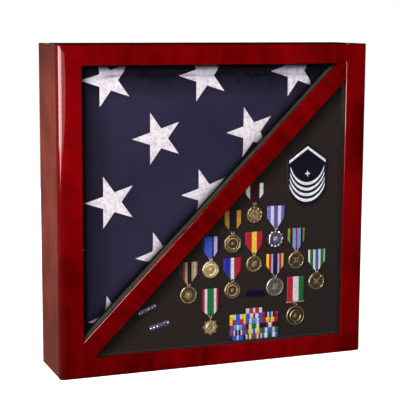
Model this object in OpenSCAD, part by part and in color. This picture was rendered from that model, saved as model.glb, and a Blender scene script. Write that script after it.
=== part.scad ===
// Folded flag display case: a square hardwood case with a diagonal bar.
// The upper-left triangle holds a folded flag, the lower-right one a board of medals.
// Origin: middle of the base. +X right, +Y to the back, +Z up. Depths are counted
// from the front plane of the face frame.

/* [Case] */
// Overall width
case_w = 560; // [550:1:575]
// Overall height
case_h = 556; // [546:1:571]
// Depth from the face frame to the rear edge of the boards
case_d = 126; // [126:1:140]
// Thickness of the four case boards
board_t = 18; // [17:0.5:19]
// Thickness of the diagonal divider board
divider_t = 12; // [10:0.5:14]
// Width of the rear rebate that takes the door
rebate_w = 6; // [5:0.5:6]
// Radius of the outer front arrises
arris_r = 3; // [1:0.5:4]

/* [Face frame] */
// Width of each stile
stile_w = 40; // [38:0.5:44]
// Height of the top and bottom rails
rail_h = 34.5; // [33:0.5:38]
// Width of the diagonal bar
bar_w = 32.5; // [30:0.5:36]
// Thickness of the face frame
frame_t = 16; // [14:0.5:17]
// Thickness of the lip in front of the glass
lip_t = 6; // [4:0.5:7]
// How far the lip covers the glass
glass_lap = 5; // [4:0.5:6]
// Thickness of the glass
glass_t = 3; // [2:0.5:3]

/* [Contents] */
// Depth of the medal felt behind the front plane
felt_depth = 22; // [20:0.5:24]
// Depth of the foremost face of the folded flag
flag_depth = 11.5; // [10.5:0.5:14]
// Depth of the rear face of the folded flag
flag_back = 90; // [80:1:92]
// Width of a full-size medal ribbon
ribbon_w = 33; // [30:0.5:35]
// Width of one bar of the ribbon rack
rack_bar_w = 31; // [28:0.5:32]
// Height of one bar of the ribbon rack
rack_bar_h = 9.4; // [8:0.1:9.5]

/* [Rear door and hardware] */
// Thickness of the rear door
door_t = 6; // [5:0.5:6]
// Gap round the rear door
door_gap = 1.2; // [1.2:0.1:1.6]
// Length of each butt hinge
hinge_l = 50; // [40:1:60]
// Distance of each hinge from the middle
hinge_x = 170; // [120:5:190]
// Height of the hanging rings' pivots
hanger_z = 430; // [380:5:460]

/* [Hidden] */
$fn = 48;

wood = [0.42, 0.03, 0.03];
black = [0.09, 0.08, 0.08];
brass = [0.78, 0.62, 0.30];
steel = [0.72, 0.72, 0.74];

front_y = -case_d / 2;
rear_y = case_d / 2;
side_x = case_w / 2;
diag_a = atan2(case_h, case_w);
// Edges of the face frame's opening
open_x = side_x - stile_w;
open_b = rail_h;
open_t = case_h - rail_h;
pocket_gap = 1;
pocket = glass_lap + pocket_gap;
// Inside faces of the boards
in_x = side_x - board_t;
in_b = board_t;
in_t = case_h - board_t;
clear = 0.5;
felt_t = 1;
medal_board_t = 4;
retainer_w = 8;
retainer_d = 10;
retainer_depth = felt_depth + felt_t + medal_board_t;
liner_back = 24;
liner_set = 0.5;
// Rear door, flush with the rear edges of the boards
rim = board_t - rebate_w;
door_depth = case_d - door_t;
shoulder_depth = door_depth - 0.3;
door_x = side_x - rim - door_gap;
door_b = rim + door_gap;
door_top = case_h - rim - door_gap;
// Hinges: leaves on the rear plane, pin axis along X
leaf_t = 1.2;
knuckle_r = 2.2;
hinge_r = 1;
hinge_y = rear_y + 2.4;
hinge_z = rim + door_gap / 2;
knuckles = 5;
knuckle_l = hinge_l / knuckles;
running = 0.05;
// Magnetic catches under the top board
catch_x = [-180, 160];
block = [40, 15.6, 12];
magnet_r = 4;
magnet_t = 3;
strike_r = 5;
strike_t = 1.1;
// Hanging rings on the rear edges of the sides
hanger_x = side_x - rim / 2;
ring_wire = 0.8;
loop_r = 1.65;
ring_y = rear_y + loop_r;
ring_half = 4.7;
ring_leg = 6.5;
strap_w = 6.5;
strap_t = 1.6;
strap_l = 24;
hanger_screw_z = hanger_z + 17;
bumper_r = 4.5;
bumper_t = 5;
// Medals: columns step out from the peak of a chevron, [column, top height, ribbon height]
peak_x = 76;
column_step = 41;
medals = [
    [0, 314, 32], [-1, 268, 36], [1, 272, 36], [-2, 224, 36], [0, 228, 36], [2, 230, 36],
    [-3, 182, 36], [-1, 184, 36], [1, 186, 36], [3, 189, 36], [-2, 132, 46], [2, 142, 44.4]
];
// Bar under the last ribbon
bar_medal = 11;
clasp_bar_h = 2.6;
clasp_bar_w = 35;
ribbon_t = 2.4;
pendant_t = 2.4;
pendant_depth = felt_depth - 3.4;
lug_r = 1.6;
link_r = 2.6;
link_wire = 0.5;
disc_medals = [3, 4, 5, 6, 7, 8, 9, 11];
disc_radii = [15, 14.3, 15, 15, 14.6, 16.5, 15.3, 17.5];
patch_x = 177.5;
patch_z = 326;
patch_half_w = 40;
patch_half_h = 57;
rack_x = 77;
rack_z = 34.8;
rack_columns = 3;
rack_rows = 5;

// Height on the diagonal, and place across it, at a square offset from its middle line
function diag_z(x, off) = (x + side_x) * case_h / case_w + off / cos(diag_a);
function diag_x(z, off) = (z - off / cos(diag_a)) * case_w / case_h - side_x;
function diag_pt(s, off) = [
    -side_x + s * cos(diag_a) - off * sin(diag_a),
    s * sin(diag_a) + off * cos(diag_a)
];
function upper_triangle(left, top, off) =
    [[left, diag_z(left, off)], [left, top], [diag_x(top, off), top]];
function lower_triangle(right, low, off) =
    [[right, diag_z(right, -off)], [right, low], [diag_x(low, -off), low]];
function strip(half_x, low, top, off) = [
    [-half_x, diag_z(-half_x, off)], [-half_x, low], [diag_x(low, -off), low],
    [half_x, diag_z(half_x, -off)], [half_x, top], [diag_x(top, off), top]
];
function mix(a, b, t) = a + (b - a) * t;
function arc(r, from, to, steps) =
    [for (i = [0:steps]) let(t = from + (to - from) * i / steps) r * [cos(t), sin(t)]];
function star(outer, inner, points, turn = 90) = [
    for (i = [0:2 * points - 1])
        let(r = i % 2 == 0 ? outer : inner, t = turn + i * 180 / points) r * [cos(t), sin(t)]
];
function medal_x(m) = peak_x + column_step * medals[m][0];
function ribbon_low(m) = medals[m][1] - medals[m][2];
function bar_drop(m) = m == bar_medal ? clasp_bar_h : 0;
function link_z(m) = ribbon_low(m) - bar_drop(m) - link_r - link_wire - 0.1;
function pendant_z(m, r) = link_z(m) - link_r - lug_r * 0.6 - r;

// Prism between two depths, with its outline in the XZ plane
module slab(depth_a, depth_b) {
    translate([0, front_y + depth_b, 0]) rotate([90, 0, 0]) linear_extrude(depth_b - depth_a) children();
}
module triangle_slab(points, depth_a, depth_b) {
    slab(depth_a, depth_b) polygon(points);
}
// Waste outside a rounded arris that runs along +Z
module arris_waste(length) {
    difference() {
        translate([-1, -1, 0]) cube([arris_r + 1, arris_r + 1, length]);
        translate([arris_r, arris_r, -1]) cylinder(r = arris_r, h = length + 2);
    }
}
module front_rounding() {
    for (s = [0, 1]) mirror([s, 0, 0])
        translate([-side_x, front_y, -1]) arris_waste(case_h + 2);
    translate([-side_x - 1, front_y, case_h]) rotate([0, 90, 0]) arris_waste(case_w + 2);
    translate([side_x + 1, front_y, 0]) rotate([0, -90, 0]) arris_waste(case_w + 2);
}
module glass_pockets() {
    triangle_slab(upper_triangle(-open_x - pocket, open_t + pocket, bar_w / 2 - pocket), lip_t, frame_t + 1);
    triangle_slab(lower_triangle(open_x + pocket, open_b - pocket, bar_w / 2 - pocket), lip_t, frame_t + 1);
}
module frame_member() {
    color(wood) difference() {
        slab(0, frame_t) children();
        glass_pockets();
        front_rounding();
    }
}
module door_recess() {
    slab(shoulder_depth, case_d + 1)
        translate([-side_x + rim, rim]) square([case_w - 2 * rim, case_h - 2 * rim]);
}
module case_board(points) {
    color(wood) difference() {
        slab(frame_t, case_d) polygon(points);
        door_recess();
        retainer_screw_places() screw_hole(1.55, 18);
        hinge_places() leaf_screw_places(-1) screw_hole(1.15, 9);
        hanger_screw_places() screw_hole(1.55, 18);
    }
}
// Screws point along +Z, with the underside of the head at the origin
module screw(head_r, head_h, r, length) {
    translate([0, 0, -head_h]) cylinder(r = head_r, h = head_h);
    translate([0, 0, -0.1]) cylinder(r = r, h = length + 0.1);
}
module screw_hole(r, length) {
    translate([0, 0, -0.2]) cylinder(r = r, h = length + 0.7);
}

// Case boards
module side_left() {
    case_board([[-side_x, 0], [-side_x, case_h], [-in_x, in_t], [-in_x, in_b]]);
}
module side_right() {
    case_board([[side_x, 0], [in_x, in_b], [in_x, in_t], [side_x, case_h]]);
}
module top_board() {
    case_board([[-side_x, case_h], [side_x, case_h], [in_x, in_t], [-in_x, in_t]]);
}
module bottom_board() {
    case_board([[-side_x, 0], [-in_x, in_b], [in_x, in_b], [side_x, 0]]);
}
module divider_board() {
    color(wood) difference() {
        triangle_slab(strip(in_x, in_b, in_t, divider_t / 2), frame_t, shoulder_depth);
        retainer_screw_places() screw_hole(1.55, 18);
    }
}

// Face frame: full-height stiles, rails between them, and the diagonal bar
module stile_left() {
    frame_member() translate([-side_x, 0]) square([stile_w, case_h]);
}
module stile_right() {
    frame_member() translate([open_x, 0]) square([stile_w, case_h]);
}
module rail_top() {
    frame_member() translate([-open_x, open_t]) square([2 * open_x, rail_h]);
}
module rail_bottom() {
    frame_member() translate([-open_x, 0]) square([2 * open_x, rail_h]);
}
module diagonal_bar() {
    frame_member() polygon(strip(open_x, open_b, open_t, bar_w / 2));
}

// Glazing and the velvet spacers behind it
module flag_glass() {
    color([0.8, 0.9, 0.9, 0.3]) triangle_slab(
        upper_triangle(-open_x - glass_lap, open_t + glass_lap, bar_w / 2 - glass_lap), lip_t, lip_t + glass_t);
}
module medal_glass() {
    color([0.8, 0.9, 0.9, 0.3]) triangle_slab(
        lower_triangle(open_x + glass_lap, open_b - glass_lap, bar_w / 2 - glass_lap), lip_t, lip_t + glass_t);
}
module liner(outer, inner, depth_b) {
    color(black) for (i = [0:2]) {
        j = (i + 1) % 3;
        cut = 0.3 / norm(outer[j] - outer[i]);
        triangle_slab([
            mix(outer[i], outer[j], cut), mix(outer[j], outer[i], cut),
            mix(inner[j], inner[i], cut), mix(inner[i], inner[j], cut)
        ], lip_t + glass_t, depth_b);
    }
}
module flag_liner() {
    liner(upper_triangle(-open_x - glass_lap, open_t + glass_lap, bar_w / 2 - glass_lap),
        upper_triangle(-open_x - liner_set, open_t + liner_set, bar_w / 2 - liner_set), liner_back);
}
module medal_liner() {
    liner(lower_triangle(open_x + glass_lap, open_b - glass_lap, bar_w / 2 - glass_lap),
        lower_triangle(open_x + liner_set, open_b - liner_set, bar_w / 2 - liner_set), felt_depth);
}

// Medal board, its felt and the strips that hold it from behind
module medal_felt() {
    color(black) triangle_slab(
        lower_triangle(in_x - clear, in_b + clear, divider_t / 2 + clear), felt_depth, felt_depth + felt_t);
}
module medal_board() {
    color([0.6, 0.5, 0.4]) triangle_slab(
        lower_triangle(in_x - clear, in_b + clear, divider_t / 2 + clear), felt_depth + felt_t, retainer_depth);
}
module board_retainers() {
    near = divider_t / 2;
    color([0.5, 0.35, 0.2]) difference() {
        slab(retainer_depth, retainer_depth + retainer_d) {
            translate([in_x - retainer_w, 60]) square([retainer_w, 380]);
            translate([-170, in_b]) square([400, retainer_w]);
            polygon([diag_pt(160, -near), diag_pt(620, -near),
                diag_pt(620, -near - retainer_w), diag_pt(160, -near - retainer_w)]);
        }
        retainer_screw_places() screw_hole(1.55, 18);
    }
}
module retainer_screw_places() {
    y = front_y + retainer_depth + retainer_d / 2;
    for (z = [130, 370]) translate([in_x - retainer_w, y, z]) rotate([0, 90, 0]) children();
    for (x = [-110, 170]) translate([x, y, in_b + retainer_w]) rotate([0, 180, 0]) children();
    for (s = [240, 540]) {
        p = diag_pt(s, -divider_t / 2 - retainer_w);
        translate([p[0], y, p[1]]) rotate([0, -diag_a, 0]) children();
    }
}
// One size of screw holds the retaining strips and the hanging straps
module wood_screws() {
    color(brass) {
        retainer_screw_places() screw(2.8, 1.5, 1.5, 17);
        hanger_screw_places() screw(2.8, 1.5, 1.5, 17);
    }
}

// Folded flag: its crown lies in the opening and its body fills the compartment
module folded_flag() {
    color([0.2, 0.18, 0.26]) union() {
        triangle_slab(upper_triangle(-open_x + 2, open_t - 2, bar_w / 2 + 2), flag_depth, 26.5);
        triangle_slab(upper_triangle(-in_x + 3, in_t - 3, divider_t / 2 + 3), 26, flag_back);
    }
}
module flag_backing() {
    color([0.85, 0.85, 0.82]) triangle_slab(
        upper_triangle(-in_x + 30, in_t - 20, divider_t / 2 + 25), flag_back + 0.5, shoulder_depth - 0.7);
}

// Rear door with its catches, hinges and pull tab
module back_door() {
    color([0.35, 0.2, 0.12]) difference() {
        slab(door_depth, case_d) translate([-door_x, door_b]) square([2 * door_x, door_top - door_b]);
        catch_places() translate([0, front_y + door_depth - 1, 0]) rotate([-90, 0, 0])
            cylinder(r = strike_r + running, h = 1 + strike_t + 0.1);
        hinge_places() leaf_screw_places(1) screw_hole(1.15, 5);
        tab_screw_places() screw_hole(1.15, 5);
    }
}
module catch_places() {
    for (x = catch_x) translate([x, 0, in_t - block[2] / 2]) children();
}
module catch_blocks() {
    color(wood) difference() {
        catch_places() translate([-block[0] / 2, front_y + shoulder_depth - block[1], -block[2] / 2]) cube(block);
        catch_places() translate([0, front_y + shoulder_depth - magnet_t - 0.1, 0]) rotate([-90, 0, 0])
            cylinder(r = magnet_r + running, h = magnet_t + 1);
    }
}
module catch_magnets() {
    color(steel) catch_places() translate([0, front_y + shoulder_depth - magnet_t - 0.1, 0])
        rotate([-90, 0, 0]) cylinder(r = magnet_r, h = magnet_t);
}
module catch_strikes() {
    color(steel) catch_places() translate([0, front_y + door_depth, 0])
        rotate([-90, 0, 0]) cylinder(r = strike_r, h = strike_t);
}
module hinge_places() {
    for (x = [-hinge_x, hinge_x]) translate([x, 0, 0]) children();
}
// Knuckles with an even number belong to the case, the odd ones to the door
module knuckle_run(first, r, gap) {
    for (i = [first:2:knuckles - 1])
        translate([-hinge_l / 2 + i * knuckle_l + gap, hinge_y, hinge_z])
            rotate([0, 90, 0]) cylinder(r = r, h = knuckle_l - 2 * gap);
}
module leaf_screw_places(side) {
    z = side < 0 ? hinge_z - 6.8 : hinge_z + 9;
    for (x = [-17, 0, 17]) translate([x, rear_y + leaf_t, z]) rotate([90, 0, 0]) children();
}
module leaf(side) {
    own = side < 0 ? 0 : 1;
    low = side < 0 ? hinge_z - 11 : hinge_z + 0.4;
    high = side < 0 ? hinge_z - 0.4 : hinge_z + 15;
    difference() {
        union() {
            translate([-hinge_l / 2, rear_y, low]) cube([hinge_l, leaf_t, high - low]);
            knuckle_run(own, knuckle_r, 0.15);
        }
        knuckle_run(1 - own, knuckle_r + 0.4, -0.15);
        translate([-hinge_l, hinge_y, hinge_z]) rotate([0, 90, 0])
            cylinder(r = hinge_r + running, h = 2 * hinge_l);
        leaf_screw_places(side) screw_hole(1.15, 3);
    }
}
module hinge_case_leaves() {
    color(brass) hinge_places() leaf(-1);
}
module hinge_door_leaves() {
    color(brass) hinge_places() leaf(1);
}
module hinge_pins() {
    color(brass) hinge_places() translate([0, hinge_y, hinge_z]) rotate([0, 90, 0]) {
        translate([0, 0, -hinge_l / 2]) cylinder(r = hinge_r, h = hinge_l);
        for (s = [0, 1]) mirror([0, 0, s])
            translate([0, 0, hinge_l / 2 - 0.1]) cylinder(r1 = 1.7, r2 = 1, h = 1);
    }
}
module hinge_case_screws() {
    color(brass) hinge_places() leaf_screw_places(-1) screw(2, 0.9, 1.1, 8.5);
}
module hinge_door_screws() {
    color(brass) hinge_places() leaf_screw_places(1) screw(2, 0.9, 1.1, 4.8);
}
module tab_screw_places() {
    for (z = [door_top - 30, door_top - 22]) translate([0, rear_y + leaf_t, z]) rotate([90, 0, 0]) children();
}
module pull_tab() {
    color([0.3, 0.15, 0.08]) difference() {
        slab(case_d, case_d + leaf_t) union() {
            translate([-8, door_top - 34]) square([16, 28]);
            translate([0, door_top - 6]) circle(r = 8);
        }
        tab_screw_places() screw_hole(1.15, 3);
        // The round end stops short of the door's top edge
        translate([-10, rear_y - 1, door_top - 0.5]) cube([20, 4, 10]);
    }
}
module tab_screws() {
    color(brass) tab_screw_places() screw(2, 0.9, 1.1, 4.8);
}

// Hanging rings on folded straps
module hanger_places() {
    for (x = [-hanger_x, hanger_x]) translate([x, 0, 0]) children();
}
module hanger_straps() {
    color(steel) hanger_places() difference() {
        union() {
            translate([-strap_w / 2, rear_y, hanger_z]) cube([strap_w, strap_t, strap_l]);
            translate([-strap_w / 2, ring_y, hanger_z]) rotate([0, 90, 0]) cylinder(r = loop_r, h = strap_w);
        }
        translate([-strap_w, ring_y, hanger_z]) rotate([0, 90, 0])
            cylinder(r = ring_wire + running, h = 2 * strap_w);
        translate([0, rear_y + strap_t, hanger_screw_z]) rotate([90, 0, 0]) screw_hole(1.55, 3);
    }
}
module hanger_ring() {
    color(steel) translate([0, ring_y, hanger_z]) {
        translate([-ring_half - ring_wire, 0, 0]) rotate([0, 90, 0])
            cylinder(r = ring_wire, h = 2 * (ring_half + ring_wire));
        for (s = [-1, 1]) translate([s * ring_half, 0, -ring_leg]) cylinder(r = ring_wire - 0.05, h = ring_leg);
        translate([0, 0, -ring_leg]) rotate([-90, 0, 0])
            rotate_extrude(angle = 180) translate([ring_half, 0]) circle(r = ring_wire - 0.05);
    }
}
module hanger_ring_left() {
    translate([-hanger_x, 0, 0]) hanger_ring();
}
module hanger_ring_right() {
    translate([hanger_x, 0, 0]) hanger_ring();
}
module hanger_screw_places() {
    hanger_places() translate([0, rear_y + strap_t, hanger_screw_z]) rotate([90, 0, 0]) children();
}
module wall_bumpers() {
    color(black) for (x = [-hanger_x, hanger_x], z = [rim / 2, case_h - rim / 2])
        translate([x, rear_y, z]) rotate([-90, 0, 0]) cylinder(r1 = bumper_r, r2 = bumper_r - 1, h = bumper_t);
}

// Sewn patch, ribbon rack, badges and pins on the felt
module rank_patch() {
    low = -patch_half_h * 0.3;
    foot = [for (p = arc(patch_half_w, -180, 0, 24)) [p[0] * 0.95, low + p[1] * 0.985]];
    color([0.07, 0.07, 0.12]) slab(felt_depth - 2, felt_depth) translate([patch_x, patch_z])
        polygon(concat([[patch_half_w, patch_half_h * 0.48], [0, patch_half_h],
            [-patch_half_w, patch_half_h * 0.48]], foot));
}
module rack_holder() {
    w = rack_columns * rack_bar_w;
    color(brass) slab(felt_depth - 1.2, felt_depth) {
        translate([rack_x - w / 2 + 1, rack_z + 1]) square([w - 2, rack_rows * rack_bar_h - 2]);
        translate([rack_x - rack_bar_w / 2 + 1, rack_z + rack_rows * rack_bar_h - 2])
            square([rack_bar_w - 2, rack_bar_h + 1]);
    }
}
module rack_ribbons() {
    gap = 0.25;
    color([0.6, 0.3, 0.3]) slab(felt_depth - 3, felt_depth - 1.2)
        for (c = [0:rack_columns - 1], r = [0:rack_rows])
            if (r < rack_rows || c == 1)
                translate([rack_x + (c - 1.5) * rack_bar_w + gap, rack_z + r * rack_bar_h + gap])
                    square([rack_bar_w - 2 * gap, rack_bar_h - 2 * gap]);
}
module bar_badge() {
    color([0.08, 0.1, 0.3]) slab(felt_depth - 2, felt_depth)
        translate([61, 112.5]) square([38, 10]);
}
module clasp(at, turn, half, r) {
    color(steel) translate([at[0], front_y + felt_depth, at[1]]) rotate([90, -turn, 0]) linear_extrude(2) {
        translate([-half, -r]) square([2 * half, 2 * r]);
        for (s = [-1, 1]) translate([s * half, 0]) circle(r = r * 1.2);
    }
}
module clasp_pin_upper() {
    clasp([-121.5, 104], 22, 13, 3.6);
}
module clasp_pin_lower() {
    clasp([-100, 74.5], 14, 13, 4.6);
}

// Medals: each ribbon drapes to a point, the two long ones hang straight
module ribbon(m) {
    h = medals[m][2];
    half = ribbon_w / 2;
    shoulder = m < 10 ? 0.42 : (m == 10 ? 0.2 : 0);
    tip = m < 11 ? 4 : half;
    color([0.45, 0.2, 0.25]) slab(felt_depth - ribbon_t, felt_depth)
        translate([medal_x(m), ribbon_low(m)])
            polygon([[-half, h], [-half, h * shoulder], [-tip, 0], [tip, 0], [half, h * shoulder], [half, h]]);
}
// Lug seen edge-on above a pendant of radius r, bored along X for the link
module lug(r) {
    translate([-0.7, 0, r + lug_r * 0.6]) rotate([0, 90, 0]) difference() {
        cylinder(r = lug_r, h = 1.4);
        translate([0, 0, -1]) cylinder(r = link_wire + 0.15, h = 4);
    }
}
module pendant_place(m, r) {
    translate([medal_x(m), front_y + pendant_depth + pendant_t / 2, pendant_z(m, r)]) children();
}
// Plate with its outline in XZ, centred on the pendant's middle plane
module pendant_plate(t) {
    translate([0, t / 2, 0]) rotate([90, 0, 0]) linear_extrude(t) children();
}
module disc_pendants() {
    color(brass) for (i = [0:len(disc_medals) - 1]) pendant_place(disc_medals[i], disc_radii[i]) {
        r = disc_radii[i];
        difference() {
            pendant_plate(pendant_t) circle(r = r);
            for (s = [-1, 1]) translate([0, s * (pendant_t / 2 + 0.4), 0]) pendant_plate(2) circle(r = r - 1.6);
        }
        pendant_plate(pendant_t - 0.4) polygon(star(r * 0.6, r * 0.25, 5));
        lug(r);
    }
}
module rayed_pendant() {
    r = 16.5;
    color(brass) pendant_place(0, r) {
        pendant_plate(pendant_t) circle(r = r * 0.62);
        pendant_plate(pendant_t - 1) polygon(star(r, r * 0.82, 16));
        lug(r);
    }
}
module octagon_pendant() {
    r = 15.6;
    color(brass) pendant_place(1, r) {
        pendant_plate(pendant_t - 1) rotate(22.5) circle(r = r / cos(22.5), $fn = 8);
        pendant_plate(pendant_t) circle(r = r * 0.66);
        lug(r);
    }
}
module lobed_pendant() {
    r = 16;
    color(steel) pendant_place(2, r) {
        pendant_plate(pendant_t - 0.8) circle(r = r * 0.8);
        for (i = [0:11]) rotate([0, i * 30, 0]) translate([0, 0, r * 0.84])
            pendant_plate(pendant_t) circle(r = r * 0.15);
        lug(r);
    }
}
module star_pendant() {
    r = 15.5;
    color(brass) pendant_place(10, r) {
        pendant_plate(pendant_t - 1) polygon(star(r, r * 0.55, 8, 0));
        pendant_plate(pendant_t) circle(r = r * 0.45);
        lug(r);
    }
}
// Metal bar that ends the last ribbon
module clasp_bar() {
    color(brass) slab(felt_depth - ribbon_t - 0.3, felt_depth)
        translate([medal_x(bar_medal) - clasp_bar_w / 2, ribbon_low(bar_medal) - clasp_bar_h])
            square([clasp_bar_w, clasp_bar_h]);
}
module suspension_rings() {
    color(brass) {
        for (m = [0:11]) translate([medal_x(m), front_y + pendant_depth + pendant_t / 2, link_z(m)])
            rotate([90, 0, 0]) rotate_extrude() translate([link_r, 0]) circle(r = link_wire, $fn = 24);
    }
}

side_left();
side_right();
top_board();
bottom_board();
divider_board();
stile_left();
stile_right();
rail_top();
rail_bottom();
diagonal_bar();
flag_glass();
medal_glass();
flag_liner();
medal_liner();
medal_board();
medal_felt();
board_retainers();
wood_screws();
folded_flag();
flag_backing();
back_door();
catch_blocks();
catch_magnets();
catch_strikes();
hinge_case_leaves();
hinge_door_leaves();
hinge_pins();
hinge_case_screws();
hinge_door_screws();
pull_tab();
tab_screws();
hanger_straps();
hanger_ring_left();
hanger_ring_right();
wall_bumpers();
rank_patch();
rack_holder();
rack_ribbons();
bar_badge();
clasp_pin_upper();
clasp_pin_lower();
ribbon(0);  // ribbon_1
ribbon(1);  // ribbon_2
ribbon(2);  // ribbon_3
ribbon(3);  // ribbon_4
ribbon(4);  // ribbon_5
ribbon(5);  // ribbon_6
ribbon(6);  // ribbon_7
ribbon(7);  // ribbon_8
ribbon(8);  // ribbon_9
ribbon(9);  // ribbon_10
ribbon(10);  // ribbon_11
ribbon(11);  // ribbon_12
disc_pendants();
rayed_pendant();
octagon_pendant();
lobed_pendant();
star_pendant();
suspension_rings();
clasp_bar();
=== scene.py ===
"""Looks of a folded flag display case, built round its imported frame."""

from functools import cache
from itertools import accumulate
from math import atan2, cos, exp, pi, radians, sin, sqrt

import bmesh
import bpy
from bpy.props import FloatProperty, FloatVectorProperty, PointerProperty
from mathutils import Matrix, Vector, noise


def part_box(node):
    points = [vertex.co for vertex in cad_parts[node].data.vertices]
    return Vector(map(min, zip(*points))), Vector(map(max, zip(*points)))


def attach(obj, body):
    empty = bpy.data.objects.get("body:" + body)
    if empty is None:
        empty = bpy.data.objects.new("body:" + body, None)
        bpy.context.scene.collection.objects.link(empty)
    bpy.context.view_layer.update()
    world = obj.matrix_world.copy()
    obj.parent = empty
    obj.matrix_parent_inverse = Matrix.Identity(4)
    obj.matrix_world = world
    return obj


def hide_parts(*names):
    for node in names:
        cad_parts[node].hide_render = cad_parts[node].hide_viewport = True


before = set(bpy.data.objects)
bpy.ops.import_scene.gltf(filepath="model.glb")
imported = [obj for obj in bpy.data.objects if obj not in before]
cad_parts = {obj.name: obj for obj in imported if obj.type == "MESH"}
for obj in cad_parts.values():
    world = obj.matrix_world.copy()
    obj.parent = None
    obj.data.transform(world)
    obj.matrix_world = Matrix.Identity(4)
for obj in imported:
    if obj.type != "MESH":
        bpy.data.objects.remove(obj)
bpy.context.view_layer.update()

bl_info = {
    "name": "Folded flag display case",
    "version": (1, 0, 0),
    "blender": (4, 5, 0),
    "location": "3D View > Sidebar > Flag case",
    "description": "Builds the woodwork, flag, medals and hardware of a glazed display case",
    "category": "Object",
}

MM = 0.001

# Planes and edges of the case, read from the frame
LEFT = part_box("stile_left")[0].x
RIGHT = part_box("stile_right")[1].x
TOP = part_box("rail_top")[1].z
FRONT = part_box("stile_left")[0].y
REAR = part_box("side_left")[1].y
OPEN_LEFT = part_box("stile_left")[1].x
OPEN_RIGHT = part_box("stile_right")[0].x
OPEN_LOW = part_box("rail_bottom")[1].z
OPEN_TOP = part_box("rail_top")[0].z
# Slack allowed when a point is compared with one of these planes
NEAR = 0.1 * MM
CORNER = Vector((LEFT, 0, 0))
ALONG = (Vector((RIGHT, 0, TOP)) - CORNER).normalized()
ACROSS = Vector((-ALONG.z, 0, ALONG.x))
SLOPE = atan2(ALONG.z, ALONG.x)


def off_diagonal(point):
    """Square distance of a point from the case's diagonal, positive on the flag's side."""
    return (point - CORNER).dot(ACROSS)


def scaled(shade, share):
    """A darker or lighter version of a colour."""
    return tuple(part * share for part in shade)


def chosen(group, key):
    """A colour from the scene's settings."""
    return tuple(getattr(getattr(bpy.context.scene, group), key))


def node_points(node):
    """Corners of a frame node's mesh."""
    return [vertex.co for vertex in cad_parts[node].data.vertices]


BAR_HALF = max(abs(off_diagonal(point)) for point in node_points("diagonal_bar"))
FLAG_EDGE = min(off_diagonal(point) for point in node_points("folded_flag"))
FLAG_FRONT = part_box("folded_flag")[0].y
FLAG_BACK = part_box("folded_flag")[1].y


def tone(red, green, blue):
    """Linear colour of three display values from 0 to 255."""
    return tuple(
        level / 12.92 if level <= 0.04045 else ((level + 0.055) / 1.055) ** 2.4
        for level in (red / 255, green / 255, blue / 255)
    )


# ---------------------------------------------------------------- shader tools


class Wire:
    """Output socket of a shader node; arithmetic on it adds Math nodes."""

    def __init__(self, finish, socket):
        self.finish = finish
        self.socket = socket

    def math(self, operation, first, second):
        """Adds a Math node."""
        return self.finish.node("ShaderNodeMath", {"operation": operation}, {0: first, 1: second})

    def __add__(self, other):
        return self.math("ADD", self, other)

    def __sub__(self, other):
        return self.math("SUBTRACT", self, other)

    def __rsub__(self, other):
        return self.math("SUBTRACT", other, self)

    def __mul__(self, other):
        return self.math("MULTIPLY", self, other)

    def __pow__(self, other):
        return self.math("POWER", self, other)

    def between(self, low, high):
        """Rises from 0 at low to 1 at high, clamped."""
        return self.finish.node(
            "ShaderNodeMapRange", {"clamp": True}, {"Value": self, "From Min": low, "From Max": high}
        )


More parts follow.
